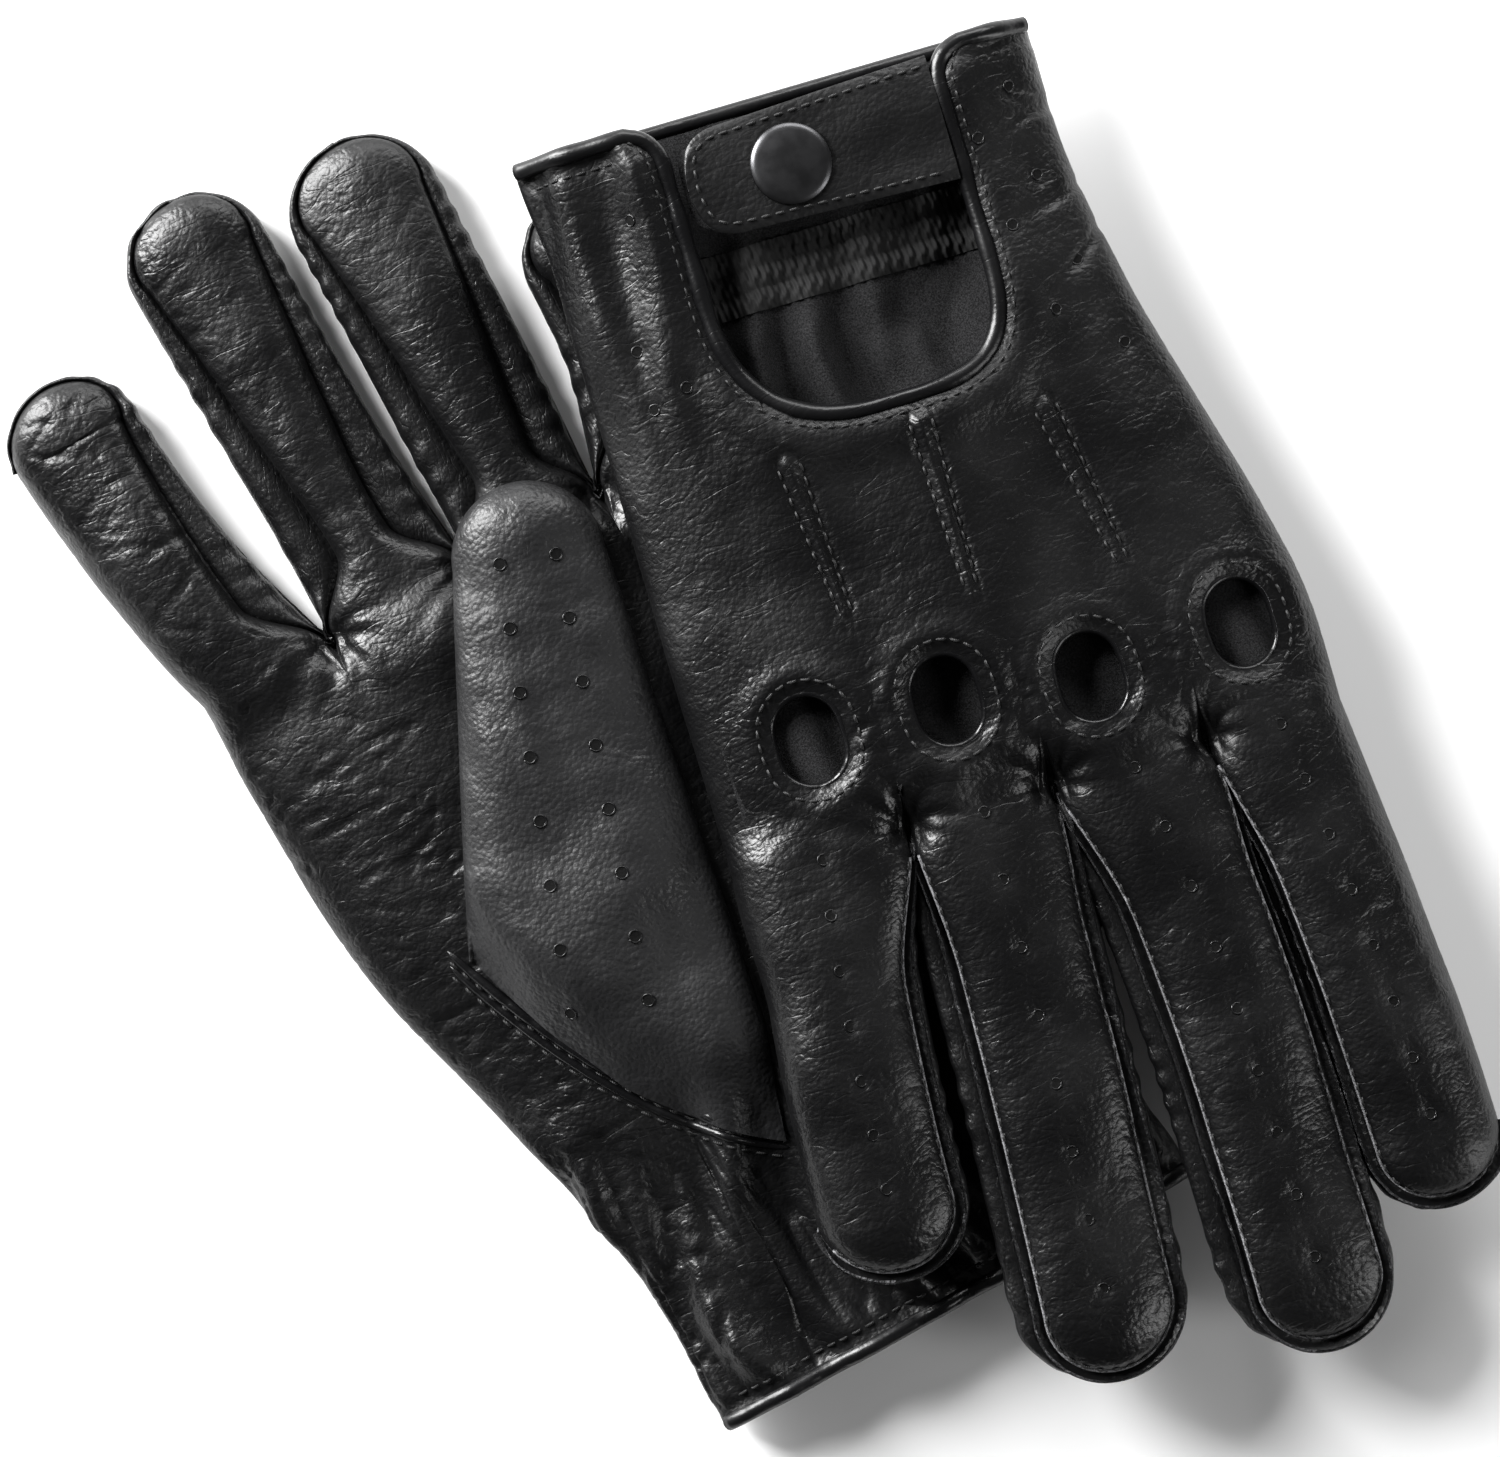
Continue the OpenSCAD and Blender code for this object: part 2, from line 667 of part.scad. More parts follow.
left_back_panel();
left_palm_panel();
left_knuckle_facings();
fourchette_roots(LEFT);  // left_fourchette_roots
finger_domed(LEFT, INDEX);  // left_index_palm
finger_flat(LEFT, INDEX);  // left_index_back
finger_domed(LEFT, MIDDLE);  // left_middle_palm
finger_flat(LEFT, MIDDLE);  // left_middle_back
finger_domed(LEFT, RING);  // left_ring_palm
finger_flat(LEFT, RING);  // left_ring_back
finger_domed(LEFT, PINKY);  // left_pinky_palm
finger_flat(LEFT, PINKY);  // left_pinky_back
fourchette(LEFT, INDEX, 1);  // left_index_fourchette
fourchette(LEFT, MIDDLE, -1);  // left_middle_index_side_fourchette
fourchette(LEFT, MIDDLE, 1);  // left_middle_ring_side_fourchette
fourchette(LEFT, RING, -1);  // left_ring_middle_side_fourchette
fourchette(LEFT, RING, 1);  // left_ring_pinky_side_fourchette
fourchette(LEFT, PINKY, -1);  // left_pinky_fourchette
thumb_outer(LEFT);  // left_thumb_outer
thumb_inner(LEFT);  // left_thumb_inner
cuff_piping(LEFT);  // left_cuff_piping
wrist_elastic(LEFT);  // left_wrist_elastic
strap_anchor(LEFT);  // left_strap_anchor
strap_outer(LEFT);  // left_strap
strap_lining(LEFT);  // left_strap_lining
snap_cap(LEFT);  // left_snap_cap
underlap_tab(LEFT);  // left_underlap_tab
snap_stud(LEFT);  // left_snap_stud
right_back_panel();
right_palm_panel();
right_knuckle_facings();
fourchette_roots(RIGHT);  // right_fourchette_roots
finger_domed(RIGHT, INDEX);  // right_index_back
finger_flat(RIGHT, INDEX);  // right_index_palm
finger_domed(RIGHT, MIDDLE);  // right_middle_back
finger_flat(RIGHT, MIDDLE);  // right_middle_palm
finger_domed(RIGHT, RING);  // right_ring_back
finger_flat(RIGHT, RING);  // right_ring_palm
finger_domed(RIGHT, PINKY);  // right_pinky_back
finger_flat(RIGHT, PINKY);  // right_pinky_palm
fourchette(RIGHT, INDEX, 1);  // right_index_fourchette
fourchette(RIGHT, MIDDLE, -1);  // right_middle_index_side_fourchette
fourchette(RIGHT, MIDDLE, 1);  // right_middle_ring_side_fourchette
fourchette(RIGHT, RING, -1);  // right_ring_middle_side_fourchette
fourchette(RIGHT, RING, 1);  // right_ring_pinky_side_fourchette
fourchette(RIGHT, PINKY, -1);  // right_pinky_fourchette
thumb_outer(RIGHT);  // right_thumb_outer
thumb_inner(RIGHT);  // right_thumb_inner
cuff_piping(RIGHT);  // right_cuff_piping
wrist_elastic(RIGHT);  // right_wrist_elastic
strap_anchor(RIGHT);  // right_strap_anchor
strap_outer(RIGHT);  // right_strap
strap_lining(RIGHT);  // right_strap_lining
snap_cap(RIGHT);  // right_snap_cap
underlap_tab(RIGHT);  // right_underlap_tab
snap_stud(RIGHT);  // right_snap_stud
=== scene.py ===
# %% [markdown]
# A pair of unlined leather driving gloves lies on a pale table, the right one back up across the left one.
# This lesson builds them the way a glove maker does: panels, fourchettes, thumb, piping, strap and thread.
# Shapes are worked out with numpy on each glove's own pattern, in millimetres, and then laid in the frame.

import json

import bpy
import numpy as np
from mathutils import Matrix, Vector
from mathutils.bvhtree import BVHTree

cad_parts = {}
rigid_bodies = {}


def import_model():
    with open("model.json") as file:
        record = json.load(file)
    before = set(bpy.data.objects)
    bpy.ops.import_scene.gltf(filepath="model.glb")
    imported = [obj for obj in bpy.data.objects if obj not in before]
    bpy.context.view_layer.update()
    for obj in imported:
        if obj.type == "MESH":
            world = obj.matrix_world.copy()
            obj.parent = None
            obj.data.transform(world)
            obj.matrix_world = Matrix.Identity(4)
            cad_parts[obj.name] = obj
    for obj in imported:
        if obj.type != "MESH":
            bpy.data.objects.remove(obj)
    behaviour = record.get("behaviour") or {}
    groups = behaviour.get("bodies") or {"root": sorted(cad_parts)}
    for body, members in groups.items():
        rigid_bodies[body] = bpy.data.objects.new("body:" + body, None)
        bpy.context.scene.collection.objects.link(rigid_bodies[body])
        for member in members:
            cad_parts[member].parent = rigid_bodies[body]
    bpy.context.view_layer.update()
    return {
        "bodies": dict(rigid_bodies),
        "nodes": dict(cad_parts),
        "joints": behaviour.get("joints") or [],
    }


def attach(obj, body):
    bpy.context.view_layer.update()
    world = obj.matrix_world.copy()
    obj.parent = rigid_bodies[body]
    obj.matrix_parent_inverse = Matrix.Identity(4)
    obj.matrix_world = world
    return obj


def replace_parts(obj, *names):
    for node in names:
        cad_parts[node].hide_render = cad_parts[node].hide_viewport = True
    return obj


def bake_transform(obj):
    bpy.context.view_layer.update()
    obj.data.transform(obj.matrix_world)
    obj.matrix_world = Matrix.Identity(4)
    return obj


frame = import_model()

# %% [markdown]
# A glove maker draws a pattern flat on the hide. Each glove here has its own pattern axes: x from the index
# side to the little finger, y from cuff to fingertips, and z up from the table side. Working straight in
# the frame would mix in the way the gloves happen to lie. The joints tell where the axes are: fingers bend
# about x, and the snap strap opens about y.

# %% Find the pattern axes of each glove
SIDES = ("left", "right")
FINGERS = ("index", "middle", "ring", "pinky")
TOP = {"left": "palm", "right": "back"}
BOTTOM = {"left": "back", "right": "palm"}
MM = 0.001
strap_hinge_at = {"left": (-24, 11, 1.3), "right": (-24, 11, 11.2)}
joints = {j["name"]: j for j in frame["joints"]}
axes, origin = {}, {}
for side in SIDES:
    hinge = joints[f"{side}_strap_hinge"]
    across = np.array(joints[f"{side}_index_bend"]["axis"], float)
    along = np.array(hinge["axis"], float) * (1 if side == "left" else -1)
    axes[side] = np.array([across, along, np.cross(across, along)])
    origin[side] = np.array(hinge["pos_m"]) - np.array(strap_hinge_at[side]) * MM @ axes[side]


def to_frame(side, points):
    """Pattern millimetres to metres in the frame."""
    return np.asarray(points, float) * MM @ axes[side] + origin[side]


def to_pattern(side, points):
    """Metres in the frame to pattern millimetres."""
    return (np.asarray(points, float) - origin[side]) @ axes[side].T / MM


def node_points(side, node):
    vertices = frame["nodes"][node].data.vertices
    return to_pattern(side, [v.co for v in vertices])


print("origins", {s: np.round(o, 4).tolist() for s, o in origin.items()})

# %% [markdown]
# The trank of a glove is one flat outline: a hand that widens from the cuff to the knuckles, and four
# stalls for the fingers. It could be drawn as a curve and filled, but then nothing could ask it where an
# edge or a middle line is. Small functions of the distance from the cuff answer that for every later step.
# Tips and joints are read from the frame so that both models agree.

# %% Draw the pattern
leather = 1.0
skin_thickness = 0.9
hand_height = 12.0
seam_height = 6.0
cuff_lift = {"left": 3.7, "right": 0.0}
crotch = {"left": 147.0, "right": 122.0}
part_lines = (0, 0.23, 0.48, 0.715, 1)
stall_width = {"index": 23, "middle": 24.5, "ring": 26, "pinky": 24.5}
bend_at = {f: to_pattern("right", [joints[f"right_{f}_bend"]["pos_m"]])[0][1] for f in FINGERS}
tip_at, tip_across = {}, {}
for side in SIDES:
    for finger in FINGERS:
        points = node_points(side, f"{side}_{finger}_{TOP[side]}")
        tip_at[side, finger] = points[:, 1].max()
        tip_across[side, finger] = points[points[:, 1] > tip_at[side, finger] - 0.3, 0].mean()


def mix(a, b, f):
    return a + (b - a) * f


def ease(t):
    t = np.clip(t, 0, 1)
    return t * t * (3 - 2 * t)


def arch(u):
    """1 in the middle and 0 at the edges, with full shoulders."""
    return np.maximum(0, 1 - np.abs(u) ** 2.4) ** (1 / 2.4)


def index_edge(y):
    return mix(-45.0, -63.6, ease((y - 15) / 100))


def pinky_edge(y):
    return mix(44.0, 42.4, ease(y / 20))


def lift(side, y):
    return cuff_lift[side] * ease((66 - y) / 14)


def line_across(k):
    return mix(-63.6, 42.4, part_lines[k])


def stall_centre(side, finger, y):
    """Middle line of a stall: the right middle finger leans early and the right ring finger late."""
    f = FINGERS.index(finger)
    run = np.clip((y - crotch[side]) / (tip_at[side, finger] - crotch[side]), 0, 1)
    leaned = 1 - (1 - run) ** (4 if (side, finger) == ("right", "middle") else 2)
    if (side, finger) == ("right", "ring"):
        leaned = run**1.6
    return mix((line_across(f) + line_across(f + 1)) / 2, tip_across[side, finger], leaned)


def stall_half(side, finger, y):
    f = FINGERS.index(finger)
    base = line_across(f + 1) - line_across(f)
    return mix(base, stall_width[finger], ease((y - crotch[side]) / 24)) / 2


def stall_top(finger, y):
    return mix(10.5, 9.0, np.clip((y - bend_at[finger]) / 50, 0, 1))


print("bends at", {f: round(b, 1) for f, b in bend_at.items()})
print("tips at", {k: round(v, 1) for k, v in tip_at.items()})

# %% [markdown]
# Worn leather is never smooth: it has soft hollows, and creases that wander where it has been bent often.
# They could be sculpted by hand or left to a bump texture, but a bump never changes an outline. Adding up a
# few waves of random direction makes soft hollows, and a thin valley along the line where that sum is zero
# makes a wandering crease. The numbers are seeded, so they are the same at each run.


# %% Make hollows and creases
def waves(x, y, size_x, size_y, seed, count=16):
    rng = np.random.default_rng(seed)
    turn = rng.uniform(0, 2 * np.pi, count)
    pace = rng.uniform(0.6, 1.4, count) * 2 * np.pi
    start = rng.uniform(0, 2 * np.pi, count)
    total = np.zeros_like(x, float)
    for t, p, s in zip(turn, pace, start):
        total += np.cos(np.cos(t) * p * x / size_x + np.sin(t) * p * y / size_y + s)
    return total * np.sqrt(2 / count)


def crease(x, y, size_x, size_y, seed, width=0.1):
    return -np.exp(-((waves(x, y, size_x, size_y, seed) / width) ** 2))


def near(x, y, at_x, at_y, reach_x, reach_y):
    return np.exp(-(((x - at_x) / reach_x) ** 2) - ((y - at_y) / reach_y) ** 2)


print("a crease is", round(float(-crease(np.zeros(1), np.zeros(1), 9, 9, 1)[0]), 2), "deep at the origin")

# %% [markdown]
# The back has four oval knuckle holes and a keyhole that lets the cuff open. A boolean cut would leave
# slivers in a curved sheet. Here one measure tells how far a point lies outside the edge of a hole. Faces
# wholly inside go, and points just inside the edge move out onto it, so the rim stays clean.

# %% Cut the openings
knuckle_across = (-50, -23.5, 0.5, 24)
knuckle_row = {-50: 105, -23.5: 106.5, 0.5: 103.5, 24: 103.5}
hole_half = 5.9
hole_straight = 1.9
keyhole_across = -3.5
keyhole_half = 23.5
keyhole_round_from = 30.0


def knuckle_distance(x, y):
    """Distance outside the nearest knuckle hole, negative inside."""
    each = []
    for k in knuckle_across:
        dy = np.maximum(np.abs(y - knuckle_row[k]) - hole_straight, 0)
        each.append(np.hypot(x - k, dy) - hole_half)
    return np.min(each, axis=0)


mouth_round = 6.0


def mouth(y):
    """How much wider the keyhole is where it rounds into the cuff."""
    drop = np.clip(1 - y / mouth_round, 0, 1)
    return mouth_round * 0.8 * (1 - np.sqrt(1 - 0.98 * drop**2))


def keyhole_distance(x, y):
    """Distance outside the keyhole, squarer on the index side."""
    dx = (x - keyhole_across) / (keyhole_half + mouth(y))
    dy = np.maximum(y - keyhole_round_from, 0) / keyhole_half
    power = np.where(dx < 0, 3.6, 2.4)
    return ((np.abs(dx) ** power + dy**power) ** (1 / power) - 1) * keyhole_half


def snap_to_edge(points, quads, distance):
    """Drop the faces inside an opening and pull the ones that straddle it onto its edge."""
    outside = distance(points[:, 0], points[:, 1])
    quads = quads[(outside[quads] > 0).any(axis=1)]
    for _ in range(3):
        x, y = points[:, 0], points[:, 1]
        d = distance(x, y)
        step = 0.01
        gx = (distance(x + step, y) - d) / step
        gy = (distance(x, y + step) - d) / step
        scale = np.where(d < 0, d / np.maximum(gx**2 + gy**2, 1e-6), 0)
        used = np.zeros(len(points), bool)
        used[quads] = True
        scale = np.where(used, scale, 0)
        points[:, 0] -= gx * scale
        points[:, 1] -= gy * scale
    return points, quads


side_gap = keyhole_distance(np.array([20.0]), np.array([0.0]))[0]
print("keyhole edge is", round(float(side_gap), 2), "mm at its side")

# %% [markdown]
# Leather is a sheet with two sides and a cut edge. A solidify modifier could thicken it, but then the three
# surfaces would be hard to tell apart. A thick sheet is built straight from points and faces, with one
# material for each. Piping, welts and thread are tubes along a path.


# %% Turn points into pieces
def weld(points, quads):
    keys = np.round(points, 3)
    _, first, back = np.unique(keys, axis=0, return_index=True, return_inverse=True)
    return points[first], back.reshape(-1)[quads]


def normals_of(points, quads):
    a, b, c, d = (points[quads[:, k]] for k in range(4))
    face = np.cross(c - a, d - b)
    total = np.zeros_like(points)
    for k in range(4):
        np.add.at(total, quads[:, k], face)
    return total / np.maximum(np.linalg.norm(total, axis=1, keepdims=True), 1e-9)


def grid_quads(rows, columns, start=0):
    index = np.arange(rows * columns).reshape(rows, columns) + start
    return np.stack([index[:-1, :-1], index[:-1, 1:], index[1:, 1:], index[1:, :-1]], -1).reshape(-1, 4)


def new_piece(name, side, points, faces, materials, face_material=None, normals=None):
    mesh = bpy.data.meshes.new(name)
    mesh.from_pydata(to_frame(side, points).tolist(), [], faces)
    for m in materials:
        mesh.materials.append(m)
    if face_material is not None:
        mesh.polygons.foreach_set("material_index", np.asarray(face_material, np.int32))
    mesh.polygons.foreach_set("use_smooth", np.ones(len(mesh.polygons), bool))
    if normals is not None:
        mesh.normals_split_custom_set_from_vertices((normals @ axes[side]).tolist())
    mesh.update()
    piece = bpy.data.objects.new(name, mesh)
    bpy.context.scene.collection.objects.link(piece)
    return piece


def thick_piece(name, side, points, quads, thickness, materials, normals=None):
    """Outside, flesh side and cut edge, with one material each."""
    used, back = np.unique(quads, return_inverse=True)
    quads = back.reshape(-1, 4)
    if normals is None:
        normals = normals_of(points, used[quads])
    points, normals = points[used], normals[used]
    size = len(points)
    sides = np.concatenate([quads[:, [k, (k + 1) % 4]] for k in range(4)])
    sides = sides[sides[:, 0] != sides[:, 1]]
    code = sides[:, 0].astype(np.int64) * size + sides[:, 1]
    other = sides[:, 1].astype(np.int64) * size + sides[:, 0]
    edge = sides[~np.isin(code, other)]
    outer = [list(dict.fromkeys(q)) for q in quads.tolist()]
    outer = [q for q in outer if len(q) > 2]
    inner = [[i + size for i in reversed(q)] for q in outer]
    rim = [[b, a, a + size, b + size] for a, b in edge.tolist()]
    slots = [0] * len(outer) + [1] * len(inner) + [2] * len(rim)
    both = np.concatenate([points, points - normals * thickness])
    return new_piece(name, side, both, outer + inner + rim, materials, slots,
                     np.concatenate([normals, -normals]))


def tube(path, radius, sides=10, up=(0, 0, 1)):
    """Points and faces of a round tube along a path."""
    path = np.asarray(path, float)
    heading = np.gradient(path, axis=0)
    heading /= np.linalg.norm(heading, axis=1, keepdims=True)
    out = np.cross(heading, np.broadcast_to(up, path.shape))
    out /= np.maximum(np.linalg.norm(out, axis=1, keepdims=True), 1e-9)
    rise = np.cross(out, heading)
    turn = np.arange(sides) * 2 * np.pi / sides
    radius = np.broadcast_to(radius, len(path))[:, None, None]
    ring = out[:, None] * np.cos(turn)[None, :, None] + rise[:, None] * np.sin(turn)[None, :, None]
    points = (path[:, None] + ring * radius).reshape(-1, 3)
    faces = []
    for i in range(len(path) - 1):
        for k in range(sides):
            n = (k + 1) % sides
            faces.append([i * sides + k, i * sides + n, (i + 1) * sides + n, (i + 1) * sides + k])
    last = (len(path) - 1) * sides
    faces.append(list(range(sides))[::-1])
    faces.append(list(range(last, last + sides)))
    return points, faces


def gathered(parts):
    """Several (points, faces) as one."""
    points, faces, size = [], [], 0
    for p, f in parts:
        points.append(p)
        faces += [[i + size for i in face] for face in f]
        size += len(p)
    return np.concatenate(points), faces


def spaced(path, gap):
    """The same path with points a set distance apart."""
    path = np.asarray(path, float)
    run = np.concatenate([[0], np.cumsum(np.linalg.norm(np.diff(path, axis=0), axis=1))])
    count = max(2, int(run[-1] / gap) + 1)
    at = np.linspace(0, run[-1], count)
    return np.stack([np.interp(at, run, path[:, k]) for k in range(path.shape[1])], 1)


print("helpers ready")

# %% [markdown]
# Black nappa gets its look from a soft gloss over a fine pebbled grain. The colour hardly varies, so the
# grain, the tiny creases and the uneven polish do the work. Suede is the same hide seen from the flesh
# side: rough, dark grey and napped. A leather picture wrapped on needs a mapping seam. Procedural grain
# measured in millimetres on the object's own coordinates fits every piece, and moves with it.


# %% Mix the materials
def nodes_for(name, colour, roughness, **sockets):
    material = bpy.data.materials.new(name)
    material.use_nodes = True
    tree = material.node_tree
    shader = tree.nodes["Principled BSDF"]
    shader.inputs["Base Color"].default_value = (*colour, 1)
    shader.inputs["Roughness"].default_value = roughness
    for socket, value in sockets.items():
        shader.inputs[socket.replace("_", " ")].default_value = value
    coordinates = tree.nodes.new("ShaderNodeTexCoord")
    return material, tree, shader, coordinates.outputs["Object"]


def texture(tree, kind, vector, scale, **settings):
    """A texture whose scale is in features per millimetre along x, y and z."""
    mapping = tree.nodes.new("ShaderNodeMapping")
    mapping.inputs["Scale"].default_value = [s / MM for s in np.broadcast_to(scale, 3)]
    node = tree.nodes.new(kind)
    node.inputs["Scale"].default_value = 1
    for key, value in settings.items():
        node.inputs[key].default_value = value
    tree.links.new(vector, mapping.inputs["Vector"])
    tree.links.new(mapping.outputs["Vector"], node.inputs["Vector"])
    return node.outputs[0]


def stretch(tree, value, low, high, to_low=0.0, to_high=1.0):
    node = tree.nodes.new("ShaderNodeMapRange")
    node.interpolation_type = "SMOOTHSTEP"
    for socket, number in zip(("From Min", "From Max", "To Min", "To Max"), (low, high, to_low, to_high)):
        node.inputs[socket].default_value = number
    tree.links.new(value, node.inputs["Value"])
    return node.outputs["Result"]


def sums(tree, operation, a, b):
    node = tree.nodes.new("ShaderNodeMath")
    node.operation = operation
    for socket, value in zip(node.inputs, (a, b)):
        if isinstance(value, (int, float)):
            socket.default_value = value
        else:
            tree.links.new(value, socket)
    return node.outputs[0]


def bump(tree, height, depth_mm, below=None):
    node = tree.nodes.new("ShaderNodeBump")
    node.inputs["Distance"].default_value = depth_mm * MM
    node.inputs["Strength"].default_value = 1
    tree.links.new(height, node.inputs["Height"])
    if below is not None:
        tree.links.new(below, node.inputs["Normal"])
    return node.outputs["Normal"]


print("texture helpers ready")

# %% [markdown]
# Both faces of the hide are one recipe each. Nappa is two bumps for grain, two sets of fine lines for
# creases, and a slow change of gloss where it has been handled. Suede is a fibrous noise that darkens and
# lightens the nap. One recipe with a few numbers keeps the hand, thumb, strap and piping alike but not
# equal.


# %% Write the recipes for nappa and suede
def fine_creases(tree, vector, scale, width):
    """1 away from the creases and 0 in them."""
    noise = texture(tree, "ShaderNodeTexNoise", vector, scale, Detail=2.0, Roughness=0.45, Distortion=0.4)
    away = sums(tree, "ABSOLUTE", sums(tree, "SUBTRACT", noise, 0.5), 0)
    return stretch(tree, away, 0, width)


def nappa(name, colour, roughness, grain=0.07, grain_size=0.85, creasing=0.03, across=0.10, along=0.30):
    material, tree, shader, vector = nodes_for(name, colour, roughness, Specular_IOR_Level=0.36)
    pebbles = texture(tree, "ShaderNodeTexVoronoi", vector, 1 / grain_size, Randomness=1.0)
    pores = texture(tree, "ShaderNodeTexNoise", vector, 1 / (grain_size * 2.4), Detail=3.0, Roughness=0.6)
    normal = bump(tree, pebbles, -grain)
    normal = bump(tree, pores, grain * 2.2, normal)
    lines = fine_creases(tree, vector, (across, along, along), 0.05)
    normal = bump(tree, lines, creasing, normal)
    lines = fine_creases(tree, vector, (across * 2.3, along * 1.6, along * 2), 0.07)
    normal = bump(tree, lines, creasing * 0.5, normal)
    tree.links.new(normal, shader.inputs["Normal"])
    polish = texture(tree, "ShaderNodeTexNoise", vector, 0.06, Detail=3.0)
    polish = stretch(tree, polish, 0.3, 0.7, roughness - 0.06, roughness + 0.08)
    tree.links.new(polish, shader.inputs["Roughness"])
    return material


def suede(name, colour, nap=0.25):
    material, tree, shader, vector = nodes_for(name, colour, 0.95, Specular_IOR_Level=0.15)
    fibres = texture(tree, "ShaderNodeTexNoise", vector, 3.2, Detail=4.0, Roughness=0.7)
    shade = stretch(tree, fibres, 0.35, 0.68)
    ramp = tree.nodes.new("ShaderNodeMix")
    ramp.data_type = "RGBA"
    tree.links.new(shade, ramp.inputs["Factor"])
    ramp.inputs["A"].default_value = (*[c * 0.35 for c in colour], 1)
    ramp.inputs["B"].default_value = (*[c * 2.0 for c in colour], 1)
    tree.links.new(ramp.outputs["Result"], shader.inputs["Base Color"])
    tree.links.new(bump(tree, fibres, nap), shader.inputs["Normal"])
    return material


print("leather recipes ready")

# %% [markdown]
# The gloves are all one colour, and still each part looks different. The thumb is cut from a looser, more
# pebbled part of the hide, and its base colour is painted several times lighter than the hand's: painted
# light, a lit copy of the same black leather. The fourchettes crease across, and the piping is pulled tight
# and shines. These differences are small numbers here, where they are easy to compare.

# %% Choose the leathers
hand_leather = nappa("hand_nappa", (0.0022, 0.0022, 0.0024), 0.37)
# The thumb's lighter base colour is painted light: the same black nappa made lighter, as if lit more. Its
# stronger grain bump is real.
thumb_leather_painted_light = nappa("thumb_nappa_painted_light", (0.0105, 0.0105, 0.011), 0.42, grain=0.10, creasing=0.004)
gusset_leather = nappa("gusset_nappa", (0.0024, 0.0024, 0.0026), 0.38, creasing=0.04, across=0.5, along=0.2)
strap_leather = nappa("strap_nappa", (0.0028, 0.0028, 0.003), 0.42, creasing=0.02)
piping_leather = nappa("piping_nappa", (0.003, 0.003, 0.0033), 0.30, grain=0.02, creasing=0.015)
flesh_side = suede("flesh_side_suede", (0.013, 0.013, 0.0135))
cut_edge = suede("cut_leather_edge", (0.13, 0.13, 0.135), nap=0.05)
hole_dark = suede("punched_hole_shadow", (0.002, 0.002, 0.002), nap=0.05)
print("materials", [m.name for m in bpy.data.materials])

# %% [markdown]
# Thread is waxed and nearly black, the snap is satin gunmetal, and the wrist elastic is a woven band. A
# plain colour would do at a distance. A wave texture for the twist and the weave, and a faint noise on the
# metal, keep them real close up at almost no cost.

# %% Mix thread, metal and elastic
thread, tree, shader, vector = nodes_for("black_thread", (0.004, 0.004, 0.0042), 0.55)
twist = texture(tree, "ShaderNodeTexWave", vector, (1.2, 1.2, 1.2))
tree.links.new(bump(tree, twist, 0.08), shader.inputs["Normal"])

snap_metal, tree, shader, vector = nodes_for("satin_gunmetal", (0.075, 0.075, 0.078), 0.36, Metallic=1.0)
brushing = texture(tree, "ShaderNodeTexNoise", vector, 2.5, Detail=4.0)
tree.links.new(bump(tree, brushing, 0.006), shader.inputs["Normal"])
wear = texture(tree, "ShaderNodeTexNoise", vector, 0.3, Detail=2.0)
tree.links.new(stretch(tree, wear, 0.3, 0.7, 0.32, 0.38), shader.inputs["Roughness"])

elastic_cloth, tree, shader, vector = nodes_for("woven_elastic", (0.007, 0.007, 0.007), 0.85)
weave = texture(tree, "ShaderNodeTexWave", vector, (0.3, 1.4, 1.4))
tree.links.new(bump(tree, weave, 0.25), shader.inputs["Normal"])
print("thread, snap and elastic mixed")

# %% [markdown]
# The skin on top of each glove is one hide: the hand, then four stalls that part at the crotches. The hand
# is a grid across the palm. A stall is a horseshoe: its edge runs up one side, round the tip and down the
# other, and lines run in from that edge to the middle of the finger, so the tip comes out round and evenly
# meshed.

# %% Shape the top skin
across_steps = 20
lean = np.cos(np.linspace(0, np.pi / 2, across_steps + 1))
row_gap = 0.8
flange_steps = 3


def outer_edge(finger, sign):
    """The two outer edges of the hand are folded or sewn without a fourchette."""
    return (finger == "index" and sign < 0) or (finger == "pinky" and sign > 0)


def seam_inset(side, finger, sign):
    """How far the seam lies inside the finger's outline, where the fourchette shows beside it."""
    if outer_edge(finger, sign):
        return 0.0
    if side == "left":
        return 8.6
    return {("ring", 1): 2.5, ("index", 1): 1.4}.get((finger, sign), 1.8)


def puff(side, finger, sign):
    """How far a fourchette stands out beyond the finger's outline."""
    return {("right", "middle", 1): 4.6, ("right", "ring", 1): 3.4}.get((side, finger, sign), 1.6)


def horseshoe(side, finger):
    """Edge, middle line, and how much of each side, of a stall from crotch to tip."""
    end = tip_at[side, finger] - stall_width[finger] / 2 * 0.95
    y = np.arange(crotch[side], end, row_gap)
    y = np.append(y, end)
    centre, half = stall_centre(side, finger, y), stall_half(side, finger, y)
    turn = np.linspace(np.pi, 0, 42)[1:-1]
    tip = np.stack([centre[-1] + half[-1] * np.cos(turn),
                    end + (tip_at[side, finger] - end) * np.sin(turn)], 1)
    edge = np.concatenate([np.stack([centre - half, y], 1), tip, np.stack([centre + half, y], 1)[::-1]])
    spine = np.concatenate([np.stack([centre, y], 1), np.tile([centre[-1], end], (len(tip), 1)),
                            np.stack([centre, y], 1)[::-1]])
    share = np.concatenate([np.zeros(len(y)), (np.pi - turn) / np.pi, np.ones(len(y))])
    return edge, spine, share


